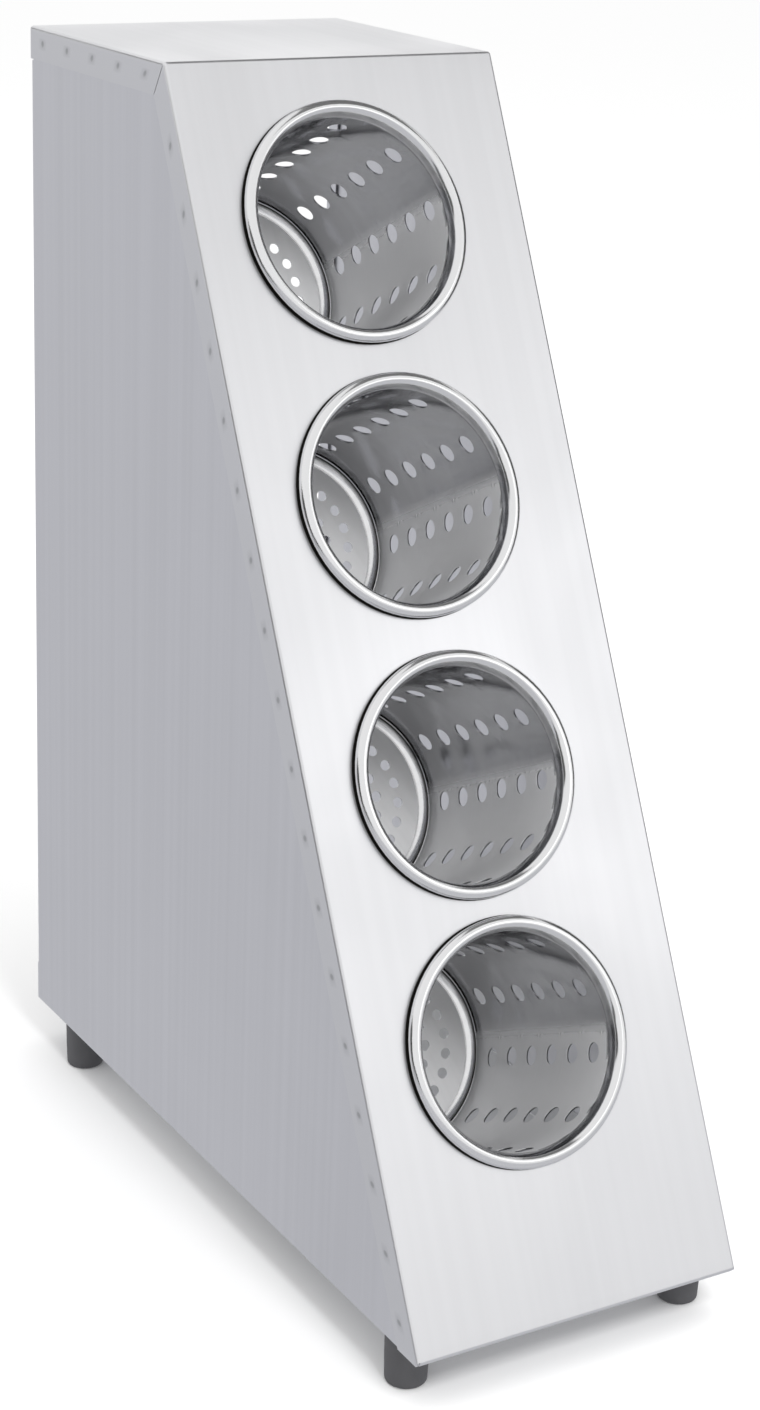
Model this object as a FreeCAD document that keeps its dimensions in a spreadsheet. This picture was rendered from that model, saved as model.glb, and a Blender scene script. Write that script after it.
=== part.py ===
import FreeCAD, Part
import math
import os
import re

import Sketcher

# Countertop cutlery dispenser, in millimetres. A narrow sheet steel cabinet with a sloped front carries
# four perforated cylinders, each square to the slope. +Z is up, the front faces -Y, and the origin is on
# the floor, under the middle of the whole object.

os.makedirs("parts", exist_ok=True)
doc = FreeCAD.newDocument("cutlery_dispenser")

# --- Driving dimensions -----------------------------------------------------------------------------

SIZES = (
    # cabinet, measured over the outside of the sheet
    ("cabinet_width", 178.0),
    ("body_height", 540.0),
    ("top_depth", 152.0),
    ("base_depth", 419.0),
    ("panel_gauge", 1.2),
    ("bend_inner", 0.6),
    ("lap_width", 16.0),
    ("lap_clearance", 1.0),
    ("hem_width", 10.0),
    ("pan_wall", 20.0),
    # the row of cylinders: each one's distance down the slope from the top front edge
    ("cylinder_1_down", 80.5),
    ("cylinder_2_down", 212.0),
    ("cylinder_3_down", 345.0),
    ("cylinder_4_down", 471.0),
    ("row_shift", -6.0),
    ("hole_clearance", 0.75),
    # one cylinder
    ("sleeve_outside", 104.0),
    ("sleeve_gauge", 0.9),
    ("cylinder_length", 137.0),
    ("rim_outside", 117.0),
    ("rim_roll", 6.5),
    ("rim_round", 1.9),
    ("rim_seat", 0.3),
    ("perforation_rows", 10),
    ("perforations_in_row", 6),
    ("perforation_size", 9.0),
    ("perforation_pitch", 19.0),
    ("first_perforation", 14.0),
    ("floor_gauge", 0.9),
    ("floor_recess", 2.4),
    ("floor_hole_size", 5.6),
    ("floor_hole_ring", 34.0),
    ("turn_1", 8.0),
    ("turn_2", 27.0),
    ("turn_3", 26.0),
    ("turn_4", 19.0),
    # feet
    ("small_round_flats", 12),
    ("foot_height", 25.0),
    ("foot_outside", 21.0),
    ("foot_from_side", 12.0),
    ("foot_from_front", 29.0),
    ("foot_from_back", 40.0),
    ("plate_outside", 18.0),
    ("plate_gauge", 1.5),
    ("stud_outside", 6.0),
    ("stud_tail", 2.0),
    ("stud_clearance", 0.3),
    ("thread_clearance", 0.05),
    ("washer_outside", 12.0),
    ("washer_gauge", 1.2),
    ("lock_washer_outside", 10.6),
    ("lock_washer_gauge", 1.5),
    ("lock_washer_gap", 1.2),
    ("nut_across", 10.0),
    ("nut_height", 5.0),
)

sizes = doc.addObject("Spreadsheet::Sheet", "sizes")
for row, (alias, value) in enumerate(SIZES, start=1):
    sizes.set(f"A{row}", alias)
    sizes.set(f"B{row}", str(value))
    sizes.setAlias(f"B{row}", alias)
doc.recompute()


def size(rule):
    """A rule with every name of the sheet spelt out as the sheet's own cell."""
    names = {alias for alias, value in SIZES}
    return re.sub(r"\w+", lambda word: f"sizes.{word[0]}" if word[0] in names else word[0], rule)


def number(rule):
    """What a rule comes to now, as a plain number."""
    found = sizes.evalExpression(size(rule))
    return float(getattr(found, "Value", found))


# --- Lines that several pieces share ------------------------------------------------------------------

SLOPE = "atan((base_depth - top_depth) / body_height)"
BEND_OUTER = "(bend_inner + panel_gauge)"
# how far the rounded front edge falls short of the sharp corner of the outline
NOSE = f"({BEND_OUTER} * ((1 + sin({SLOPE})) / cos({SLOPE}) - 1))"
BACK = f"((base_depth - {NOSE}) / 2)"
BASE = "foot_height"
TOP = "(foot_height + body_height)"
HALF_WIDTH = "(cabinet_width / 2)"
SIDE_OUTER = f"({HALF_WIDTH} - panel_gauge)"
SIDE_INNER = f"({HALF_WIDTH} - 2 * panel_gauge)"
PAN_UNDER = "(foot_height + panel_gauge)"
PAN_UPPER = "(foot_height + 2 * panel_gauge)"
PAN_RIM = f"({PAN_UNDER} + pan_wall)"


def slope_at(height, inset="0"):
    """How far along Y the slope is at a height, or a line that much inside it."""
    sharp = f"{BACK} - top_depth - ({TOP} - ({height})) * tan({SLOPE})"
    return f"({sharp} + ({inset}) / cos({SLOPE}))"


# --- Ways to make a piece -----------------------------------------------------------------------------

def new_body(name):
    body = doc.addObject("PartDesign::Body", name)
    body.Label = name
    return body


def plane(body, role):
    return next(feature for feature in body.Origin.OriginFeatures if feature.Role == role)


def attach(feature, body, role, along="0", up="0", out="0", turn="0"):
    """Puts a sketch or primitive on one of its body's own planes, shifted and turned in that plane."""
    feature.AttachmentSupport = [(plane(body, role), "")]
    feature.MapMode = "FlatFace"
    feature.AttachmentOffset = FreeCAD.Placement(
        FreeCAD.Vector(number(along), number(up), number(out)),
        FreeCAD.Rotation(FreeCAD.Vector(0, 0, 1), number(turn)),
    )
    for path, rule in (("Base.x", along), ("Base.y", up), ("Base.z", out), ("Rotation.Angle", turn)):
        if rule != "0":
            feature.setExpression(f"AttachmentOffset.{path}", size(rule))


def outline(body, name, role, corners, out="0"):
    """A closed outline of straight lines, whose corners are pairs of rules."""
    sketch = body.newObject("Sketcher::SketchObject", name)
    attach(sketch, body, role, out=out)
    places = [FreeCAD.Vector(number(across), number(up), 0) for across, up in corners]
    for here, there in zip(places, places[1:] + places[:1]):
        sketch.addGeometry(Part.LineSegment(here, there), False)
    for line, (across, up) in enumerate(corners):
        after = (line + 1) % len(corners)
        sketch.addConstraint(Sketcher.Constraint("Coincident", line, 2, after, 1))
        for kind, rule in (("DistanceX", across), ("DistanceY", up)):
            held = sketch.addConstraint(Sketcher.Constraint(kind, -1, 1, line, 1, number(rule)))
            sketch.setExpression(f"Constraints[{held}]", size(rule))
    return sketch


def pad(body, name, sketch, length, middle=False):
    feature = body.newObject("PartDesign::Pad", name)
    feature.Profile = sketch
    feature.SideType = "Symmetric" if middle else "One side"
    feature.setExpression("Length", size(length))
    doc.recompute()
    return feature


def pocket(body, name, sketch, length):
    """Cuts an outline both ways from its plane, and makes sure that it met the sheet."""
    before = body.Shape.Volume
    feature = body.newObject("PartDesign::Pocket", name)
    feature.Profile = sketch
    feature.SideType = "Symmetric"
    feature.setExpression("Length", size(length))
    doc.recompute()
    if not body.Shape.Volume < before:
        raise RuntimeError(f"{name} cuts nothing from {body.Label}")
    return feature


def work_edges(body, kind, name, how_far, picked):
    """Rounds or bevels the edges of a body that picked accepts."""
    base = body.Tip
    edges = [f"Edge{index}" for index, edge in enumerate(base.Shape.Edges, start=1) if picked(edge)]
    feature = body.newObject(f"PartDesign::{kind}", name)
    feature.Base = (base, edges)
    feature.setExpression("Radius" if kind == "Fillet" else "Size", size(how_far))
    doc.recompute()
    return feature


def middle(edge):
    return tuple(round(value, 3) for value in edge.CenterOfMass)


def bend_edges(body, name, radius, finished=()):
    """Bends the edges that run across, then bevels the outlines of both sides to match.

    Edges in finished stay as they are. The bevel is the one that touches an arc of the same radius: a
    second arc would give every corner of the sheet a patch of a hundred facets.
    """
    left_alone = {middle(edge) for edge in finished}

    def fresh(edge, across):
        return middle(edge) not in left_alone and (edge.BoundBox.XLength > 1) == across

    work_edges(body, "Fillet", f"{name}_cross_bends", radius, lambda edge: fresh(edge, True))
    bevel = f"(2 - sqrt(2)) * {radius}"
    work_edges(body, "Chamfer", f"{name}_side_bends", bevel, lambda edge: fresh(edge, False))


def primitive(body, kind, name, **rules):
    """A PartDesign primitive, whose sizes are rules."""
    feature = body.newObject(f"PartDesign::{kind}", name)
    for key, rule in rules.items():
        feature.setExpression(key, size(rule))
    return feature


def solid(kind, name, **rules):
    """A Part primitive, whose sizes and place are rules; double underscores stand for dots."""
    feature = doc.addObject(f"Part::{kind}", name)
    for key, rule in rules.items():
        feature.setExpression(key.replace("__", "."), size(rule))
    return feature


def cut(name, base, tool):
    feature = doc.addObject("Part::Cut", name)
    feature.Base = base
    feature.Tool = tool
    return feature


def four_of(name, solids):
    """Four equal solids, one at each foot, kept together as one node."""
    group = doc.addObject("Part::Compound", name)
    group.Label = name
    group.Links = solids
    return group


# --- Where each cylinder hangs --------------------------------------------------------------------------

CYLINDERS = range(4)


def cylinder_place(index, inward="0", turn="0"):
    """A rule for the place of a cylinder: on the slope, its own Z pointing straight out of it."""
    down = f"cylinder_{index + 1}_down"
    y = f"{BACK} - top_depth - {down} * sin({SLOPE}) + ({inward}) * cos({SLOPE})"
    z = f"{TOP} - {down} * cos({SLOPE}) - ({inward}) * sin({SLOPE})"
    tilt = f"rotation(vector(1; 0; 0); 90 deg - {size(SLOPE)})"
    spin = f"rotation(vector(0; 0; 1); {size(turn)})"
    return f"placement(vector({size('row_shift')}; {size(y)}; {size(z)}); {tilt} * {spin})"


# --- Cabinet --------------------------------------------------------------------------------------------

def shell_corners(inset):
    """The cabinet's side view, drawn in by the same amount all round."""
    low = f"({BASE} + {inset})"
    high = f"({TOP} - {inset})"
    return (
        (f"{BACK} - {inset}", high),
        (slope_at(high, inset), high),
        (slope_at(low, inset), low),
        (f"{BACK} - {inset}", low),
    )


def make_wrapper():
    """Top and sloped front folded from one sheet.

    The sheet is a rounded block less a slightly smaller one. Then everything further than a lap's width
    from the top and slope edges is cut away, which leaves a lap down each side, a lip behind the top and
    a toe under the front.
    """
    body = new_body("front_top_wrapper")
    block = outline(body, "wrapper_outside", "YZ_Plane", shell_corners("0"))
    pad(body, "wrapper_block", block, "cabinet_width", middle=True)
    bend_edges(body, "outer", BEND_OUTER)
    outer_edges = body.Shape.Edges
    hollow = outline(body, "wrapper_inside", "YZ_Plane", shell_corners("panel_gauge"))
    pocket(body, "wrapper_hollow", hollow, "cabinet_width - 2 * panel_gauge")
    bend_edges(body, "inner", "bend_inner", finished=outer_edges)

    low = f"({BASE} - lap_width)"
    high = f"({TOP} - lap_width)"
    behind = f"{BACK} + lap_width"
    window = outline(
        body,
        "wrapper_window",
        "YZ_Plane",
        (
            (behind, high),
            (slope_at(high, "lap_width"), high),
            (slope_at(low, "lap_width"), low),
            (behind, low),
        ),
    )
    pocket(body, "wrapper_opening", window, "2 * cabinet_width")

    for index in CYLINDERS:
        hole = primitive(
            body,
            "SubtractiveCylinder",
            f"cylinder_hole_{index + 1}",
            Radius="sleeve_outside / 2 + hole_clearance",
            Height="4 * panel_gauge",
        )
        hole.AttachmentSupport = [(plane(body, "XY_Plane"), "")]
        hole.MapMode = "FlatFace"
        hole.setExpression("AttachmentOffset", cylinder_place(index, inward="2 * panel_gauge"))
        doc.recompute()
    return body


def make_side_panel(name, side):
    """A flat sheet behind the laps, notched round the rear lip and the toe, its rear edge folded flat."""
    outer = f"{side} * {SIDE_OUTER}"
    inner = f"{side} * {SIDE_INNER}"
    hem_inner = f"{side} * ({SIDE_INNER} - panel_gauge)"
    sheet_start, hem_start = (inner, hem_inner) if side > 0 else (outer, inner)

    gap = "(panel_gauge + lap_clearance)"
    toe_end = f"({slope_at(BASE, 'lap_width')} + lap_clearance)"
    over_toe = f"({BASE} + {gap})"
    under_top = f"({TOP} - {gap})"
    under_lip = f"({TOP} - lap_width - lap_clearance)"
    before_lip = f"({BACK} - {gap})"

    body = new_body(name)
    sheet = outline(
        body,
        f"{name}_sheet",
        "YZ_Plane",
        (
            (BACK, BASE),
            (toe_end, BASE),
            (toe_end, over_toe),
            (slope_at(over_toe, gap), over_toe),
            (slope_at(under_top, gap), under_top),
            (before_lip, under_top),
            (before_lip, under_lip),
            (BACK, under_lip),
        ),
        out=sheet_start,
    )
    pad(body, f"{name}_blank", sheet, "panel_gauge")

    over_pan = f"({PAN_RIM} + lap_clearance)"
    hem = outline(
        body,
        f"{name}_hem",
        "YZ_Plane",
        (
            (BACK, over_pan),
            (BACK, under_lip),
            (f"{BACK} - hem_width", under_lip),
            (f"{BACK} - hem_width", over_pan),
        ),
        out=hem_start,
    )
    pad(body, f"{name}_hem_fold", hem, "panel_gauge")

    rear = number(BACK) - number("panel_gauge") / 2
    long_edge = number("body_height") / 2
    work_edges(
        body,
        "Fillet",
        f"{name}_hem_round",
        "0.8 * panel_gauge",
        lambda edge: edge.BoundBox.YMin > rear and edge.BoundBox.ZLength > long_edge,
    )
    return body


def make_base_pan():
    """A shallow tray between the side panels, standing on the toe, its front wall lying on the slope."""
    body = new_body("base_pan")
    blank = outline(
        body,
        "pan_outside",
        "YZ_Plane",
        (
            (BACK, PAN_UNDER),
            (slope_at(PAN_UNDER, "panel_gauge"), PAN_UNDER),
            (slope_at(PAN_RIM, "panel_gauge"), PAN_RIM),
            (BACK, PAN_RIM),
        ),
    )
    pad(body, "pan_block", blank, f"2 * {SIDE_INNER}", middle=True)
    under = number(PAN_UNDER) + number("panel_gauge") / 2
    work_edges(body, "Fillet", "pan_bends", BEND_OUTER, lambda edge: edge.BoundBox.ZMax < under)

    above = f"({PAN_RIM} + pan_wall)"
    tray = outline(
        body,
        "pan_inside",
        "YZ_Plane",
        (
            (f"{BACK} - panel_gauge", PAN_UPPER),
            (slope_at(PAN_UPPER, "2 * panel_gauge"), PAN_UPPER),
            (slope_at(above, "2 * panel_gauge"), above),
            (f"{BACK} - panel_gauge", above),
        ),
    )
    pocket(body, "pan_hollow", tray, f"2 * ({SIDE_INNER} - panel_gauge)")

    for name, x, y in FOOT_PLACES:
        hole = primitive(
            body,
            "SubtractivePrism",
            f"{name}_hole",
            Polygon="small_round_flats",
            Circumradius="stud_outside / 2 + stud_clearance",
            Height="3 * panel_gauge",
        )
        attach(hole, body, "XY_Plane", along=x, up=y, out=BASE)
        doc.recompute()
    return body


# --- Cylinders ------------------------------------------------------------------------------------------

# Round holes in a round wall would take ten times the facets, so the wall is a fine polygon with three
# flats to each row of perforations, and each six-sided perforation lies inside one flat.
WALL_FLATS = "(3 * perforation_rows)"
HALF_FLAT = f"(180 / {WALL_FLATS})"
WALL_DEPTH = "(cylinder_length - rim_roll - rim_seat)"
WALL_OUTER = "(sleeve_outside / 2)"
WALL_INNER = f"({WALL_OUTER} - sleeve_gauge / cos({HALF_FLAT}))"


def hexagon_radius(across):
    return f"({across} / 2 / cos(30))"


def make_sleeve(index):
    """The perforated wall of one cylinder and the rolled rim that hangs it on the slope."""
    which = index + 1
    body = new_body(f"cylinder_sleeve_{which}")
    wall = primitive(
        body,
        "AdditivePrism",
        f"wall_{which}",
        Polygon=WALL_FLATS,
        Circumradius=WALL_OUTER,
        Height=f"{WALL_DEPTH} + rim_seat + rim_roll / 2",
    )
    attach(wall, body, "XY_Plane", out=f"-1 * {WALL_DEPTH}", turn=HALF_FLAT)
    rim = primitive(
        body,
        "AdditivePrism",
        f"rolled_rim_{which}",
        Polygon=WALL_FLATS,
        Circumradius="rim_outside / 2",
        Height="rim_roll",
    )
    attach(rim, body, "XY_Plane", out="rim_seat", turn=HALF_FLAT)
    bore = primitive(
        body,
        "SubtractivePrism",
        f"bore_{which}",
        Polygon=WALL_FLATS,
        Circumradius=WALL_INNER,
        Height="2 * cylinder_length",
    )
    attach(bore, body, "XY_Plane", out="-1 * cylinder_length", turn=HALF_FLAT)
    doc.recompute()
    crown = number("rim_seat") + number("rim_roll")
    rolled = (number("sleeve_outside") + number("rim_outside")) / 4

    # The rim's outer and upper edges are level. The roll's round back is a bevel on each of them.
    def on_the_roll(edge):
        box = edge.BoundBox
        level = abs(box.ZMax - box.ZMin) < 0.1
        outside = math.hypot(box.Center.x, box.Center.y) > rolled
        return level and (outside and box.ZMin > 0 or abs(box.ZMin - crown) < 0.1)

    work_edges(body, "Chamfer", f"rim_edges_{which}", "rim_round", on_the_roll)

    punch = primitive(
        body,
        "SubtractivePrism",
        f"perforation_{which}",
        Polygon="6",
        Circumradius=hexagon_radius("perforation_size"),
        Height=f"{WALL_OUTER} + sleeve_gauge",
    )
    attach(punch, body, "YZ_Plane", up="-1 * first_perforation", turn="30")
    doc.recompute()
    before = body.Shape.Volume

    along = body.newObject("PartDesign::LinearPattern", f"row_{which}")
    along.Direction = (plane(body, "Z_Axis"), [""])
    along.Reversed = True
    along.setExpression("Length", size("perforation_pitch * (perforations_in_row - 1)"))
    along.setExpression("Occurrences", size("perforations_in_row"))
    around = body.newObject("PartDesign::PolarPattern", f"rows_{which}")
    around.Axis = (plane(body, "Z_Axis"), [""])
    around.Angle = 360
    around.setExpression("Occurrences", size("perforation_rows"))
    pattern = body.newObject("PartDesign::MultiTransform", f"perforations_{which}")
    pattern.Originals = [punch]
    pattern.Transformations = [along, around]
    body.Tip = pattern
    doc.recompute()
    if not body.Shape.Volume < before:
        raise RuntimeError(f"the perforations of {body.Label} cut nothing")
    body.setExpression("Placement", cylinder_place(index, turn=f"turn_{which}"))
    return body


def make_floor(index):
    """The disc welded inside the tail of one sleeve, with a ring of drain holes."""
    which = index + 1
    body = new_body(f"cylinder_floor_{which}")
    level = f"(floor_recess - {WALL_DEPTH})"
    disc = primitive(
        body,
        "AdditivePrism",
        f"disc_{which}",
        Polygon=WALL_FLATS,
        Circumradius=WALL_INNER,
        Height="floor_gauge",
    )
    attach(disc, body, "XY_Plane", out=level, turn=HALF_FLAT)
    punch = primitive(
        body,
        "SubtractivePrism",
        f"drain_{which}",
        Polygon="6",
        Circumradius=hexagon_radius("floor_hole_size"),
        Height="3 * floor_gauge",
    )
    attach(punch, body, "XY_Plane", along="floor_hole_ring", out=f"{level} - floor_gauge")
    doc.recompute()
    before = body.Shape.Volume
    ring = body.newObject("PartDesign::PolarPattern", f"drains_{which}")
    ring.Originals = [punch]
    ring.Axis = (plane(body, "Z_Axis"), [""])
    ring.Angle = 360
    ring.setExpression("Occurrences", size("perforation_rows"))
    body.Tip = ring
    doc.recompute()
    if not body.Shape.Volume < before:
        raise RuntimeError(f"the drain holes of {body.Label} cut nothing")
    body.setExpression("Placement", cylinder_place(index, turn=f"turn_{which}"))
    return body


# --- Feet -------------------------------------------------------------------------------------------------

FOOT_LEFT = f"(foot_from_side - {HALF_WIDTH})"
FOOT_RIGHT = f"({HALF_WIDTH} - foot_from_side)"
FOOT_FRONT = f"({slope_at(BASE)} + foot_from_front)"
FOOT_REAR = f"({BACK} - foot_from_back)"
FOOT_PLACES = (
    ("front_left_foot", FOOT_LEFT, FOOT_FRONT),
    ("front_right_foot", FOOT_RIGHT, FOOT_FRONT),
    ("rear_left_foot", FOOT_LEFT, FOOT_REAR),
    ("rear_right_foot", FOOT_RIGHT, FOOT_REAR),
)
PLATE_UNDER = f"({PAN_UNDER} - plate_gauge)"
LOCK_WASHER_UNDER = f"({PAN_UPPER} + washer_gauge)"
NUT_UNDER = f"({LOCK_WASHER_UNDER} + lock_washer_gauge)"
STUD_END = f"({NUT_UNDER} + nut_height + stud_tail)"


def make_foot(name, x, y):
    """A plain round rubber buffer, from the floor up to the plate bonded on it."""
    body = new_body(name)
    buffer = primitive(
        body,
        "AdditivePrism",
        f"{name}_buffer",
        Polygon="2 * small_round_flats",
        Circumradius="foot_outside / 2",
        Height=PLATE_UNDER,
    )
    attach(buffer, body, "XY_Plane", along=x, up=y)
    return body


def upright(name, x, y, low, high, outside):
    """A round bar standing between two heights, with the few flats that suit its size."""
    return solid(
        "Prism",
        name,
        Polygon="small_round_flats",
        Circumradius=f"{outside} / 2",
        Height=f"{high} - {low}",
        Placement__Base__x=x,
        Placement__Base__y=y,
        Placement__Base__z=low,
    )


def make_stud(name, x, y):
    stud = doc.addObject("Part::Fuse", f"{name}_stud")
    stud.Base = upright(f"{name}_plate", x, y, PLATE_UNDER, PAN_UNDER, "plate_outside")
    stud.Tool = upright(f"{name}_shank", x, y, PAN_UNDER, STUD_END, "stud_outside")
    return stud


def make_washer(name, x, y):
    washer = upright(f"{name}_washer_disc", x, y, PAN_UPPER, LOCK_WASHER_UNDER, "washer_outside")
    hole = upright(
        f"{name}_washer_hole", x, y, PAN_UPPER, LOCK_WASHER_UNDER, "(stud_outside + 2 * stud_clearance)"
    )
    return cut(f"{name}_washer", washer, hole)


def make_lock_washer(name, x, y):
    """A spring washer pressed flat: a ring with a slit."""
    bore = "(stud_outside + 2 * stud_clearance)"
    disc = upright(f"{name}_spring_disc", x, y, LOCK_WASHER_UNDER, NUT_UNDER, "lock_washer_outside")
    hole = upright(f"{name}_spring_hole", x, y, LOCK_WASHER_UNDER, NUT_UNDER, bore)
    slit = solid(
        "Box",
        f"{name}_slit",
        Length="lock_washer_outside",
        Width="lock_washer_gap",
        Height="lock_washer_gauge",
        Placement__Base__x=x,
        Placement__Base__y=f"{y} - lock_washer_gap / 2",
        Placement__Base__z=LOCK_WASHER_UNDER,
    )
    return cut(f"{name}_spring", cut(f"{name}_spring_ring", disc, hole), slit)


def make_nut(name, x, y):
    body = solid(
        "Prism",
        f"{name}_nut_body",
        Polygon="6",
        Circumradius=hexagon_radius("nut_across"),
        Height="nut_height",
        Placement__Base__x=x,
        Placement__Base__y=y,
        Placement__Base__z=NUT_UNDER,
    )
    top = f"({NUT_UNDER} + nut_height)"
    bore = upright(f"{name}_nut_bore", x, y, NUT_UNDER, top, "(stud_outside + 2 * thread_clearance)")
    return cut(f"{name}_nut", body, bore)


# --- The whole object ---------------------------------------------------------------------------------------

nodes = [
    make_wrapper(),
    make_side_panel("left_side_panel", -1),
    make_side_panel("right_side_panel", 1),
    make_base_pan(),
]
nodes += [make_sleeve(index) for index in CYLINDERS]
nodes += [make_floor(index) for index in CYLINDERS]
nodes += [make_foot(*place) for place in FOOT_PLACES]
nodes += [
    four_of("foot_studs", [make_stud(*place) for place in FOOT_PLACES]),
    four_of("foot_washers", [make_washer(*place) for place in FOOT_PLACES]),
    four_of("foot_lock_washers", [make_lock_washer(*place) for place in FOOT_PLACES]),
    four_of("foot_nuts", [make_nut(*place) for place in FOOT_PLACES]),
]
doc.recompute()

failed = [thing.Label for thing in doc.Objects if {"Invalid", "Error"} & set(thing.State)]
if failed:
    raise RuntimeError(f"these did not build: {failed}")
for node in nodes:
    if node.Shape.isNull() or not node.Shape.isValid() or not node.Shape.Solids:
        raise RuntimeError(f"{node.Label} is not a sound solid")
for node in nodes:
    node.Shape.exportStep(f"parts/{node.Label}.step")
    box = node.Shape.BoundBox
    print(
        f"{node.Label:22} {len(node.Shape.Solids)} solid, {node.Shape.Volume / 1000:8.2f} cm3, "
        f"{box.XLength:.1f} x {box.YLength:.1f} x {box.ZLength:.1f} mm"
    )
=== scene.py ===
# %% [markdown]
# # Countertop cutlery dispenser
#
# The real object is a narrow cabinet of thin stainless steel with a sloped front. Four perforated
# cylinders hang in holes in the slope, and the cutlery stands in them. The solids of the frame give every
# piece its place and size. This script gives the same pieces rolled rims, true round holes, folded edges
# and brushed steel.

# %% The frame, which stays where it is
import math

import bmesh
import bpy
import numpy as np
from mathutils import Matrix, Vector


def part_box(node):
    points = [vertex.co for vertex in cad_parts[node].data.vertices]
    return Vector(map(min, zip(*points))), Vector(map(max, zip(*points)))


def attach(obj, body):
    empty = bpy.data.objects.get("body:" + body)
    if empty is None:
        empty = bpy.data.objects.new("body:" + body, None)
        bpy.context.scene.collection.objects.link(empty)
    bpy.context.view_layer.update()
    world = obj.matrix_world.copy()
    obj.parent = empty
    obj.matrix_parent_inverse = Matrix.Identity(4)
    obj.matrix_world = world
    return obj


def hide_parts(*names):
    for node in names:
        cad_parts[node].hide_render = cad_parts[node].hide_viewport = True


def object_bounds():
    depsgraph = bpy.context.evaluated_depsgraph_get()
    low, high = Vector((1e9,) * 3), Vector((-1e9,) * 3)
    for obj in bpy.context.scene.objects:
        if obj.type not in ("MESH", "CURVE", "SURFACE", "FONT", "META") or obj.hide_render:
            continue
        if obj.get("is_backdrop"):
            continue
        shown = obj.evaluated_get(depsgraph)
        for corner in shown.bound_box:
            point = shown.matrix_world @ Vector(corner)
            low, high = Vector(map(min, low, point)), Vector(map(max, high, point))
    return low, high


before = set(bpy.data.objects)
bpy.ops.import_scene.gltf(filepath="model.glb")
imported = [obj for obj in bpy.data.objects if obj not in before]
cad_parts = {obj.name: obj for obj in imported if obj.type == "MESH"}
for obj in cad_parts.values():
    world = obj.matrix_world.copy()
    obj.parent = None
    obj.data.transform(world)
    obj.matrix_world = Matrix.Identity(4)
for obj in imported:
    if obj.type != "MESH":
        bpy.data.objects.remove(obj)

cad_box = [list(corner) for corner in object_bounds()]
print("box of the solids, in metres:", [[round(value, 4) for value in corner] for corner in cad_box])

# %% [markdown]
# ## Where things are
#
# The slope is the one line that everything hangs on. Its angle, and each cylinder's own axis, follow from
# the cabinet's depth at the top and at the base. Lengths are written in millimetres, as on a drawing, and
# become metres when a mesh is made.

# %% Sizes of the real pieces, in millimetres
MM = 0.001
WIDTH = 178.0
HEIGHT = 540.0
TOP_DEPTH = 152.0
BASE_DEPTH = 419.0
GAUGE = 1.2
BEND = 1.8
LAP = 16.0
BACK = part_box("left_side_panel")[1].y / MM
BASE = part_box("front_top_wrapper")[0].z / MM
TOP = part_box("front_top_wrapper")[1].z / MM
SLOPE = math.atan((BASE_DEPTH - TOP_DEPTH) / HEIGHT)
SIN, COS = math.sin(SLOPE), math.cos(SLOPE)
ROW_SHIFT = -6.0
CYLINDER_DOWN = (80.5, 212.0, 345.0, 471.0)
TURNS = (8.0, 27.0, 26.0, 19.0)
CYLINDERS = range(len(CYLINDER_DOWN))
print(f"slope {math.degrees(SLOPE):.1f} degrees, back at {BACK:.1f} mm, top at {TOP:.1f} mm")


# %% Along the slope
def on_slope(down, inward=0.0):
    """(y, z) of the point that lies down mm below the top front corner, measured along the slope, and
    inward mm behind it."""
    y = BACK - TOP_DEPTH - down * SIN + inward * COS
    z = TOP - down * COS - inward * SIN
    return y, z


def slope_y(z, inward=0.0):
    """How far back the slope is at a height, or a line that lies inward mm behind it."""
    down = (TOP - z - inward * SIN) / COS
    return BACK - TOP_DEPTH - down * SIN + inward * COS


def hang(points, index):
    """Takes points from a cylinder's own frame, Z out of the slope, to its place in the row.

    A point turns about Z by the cylinder's turn, then tips about X by 90 degrees less the slope, then
    moves to the middle of its hole.
    """
    turn = math.radians(TURNS[index])
    x = points[..., 0] * math.cos(turn) - points[..., 1] * math.sin(turn)
    up = points[..., 0] * math.sin(turn) + points[..., 1] * math.cos(turn)
    out = points[..., 2]
    y0, z0 = on_slope(CYLINDER_DOWN[index])
    return np.stack([ROW_SHIFT + x, y0 + up * SIN - out * COS, z0 + up * COS + out * SIN], axis=-1)


for index in CYLINDERS:
    y, z = on_slope(CYLINDER_DOWN[index])
    print(f"hole {index + 1}: middle at y {y:.1f}, z {z:.1f} mm")

# %% [markdown]
# ## Grids into meshes
#
# Sheet metal is a surface with an even thickness, so each piece starts as a grid of points worked out from
# two parameters. The grids that make up a piece are sewn where they meet. Solidify then gives the sheet
# its gauge and Bevel takes the sharpness off its edges, as deburring does.


# %% A grid's faces, and what each face knows about its pattern
MARKS = ("welded", "dirt", "painted_light")


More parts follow.
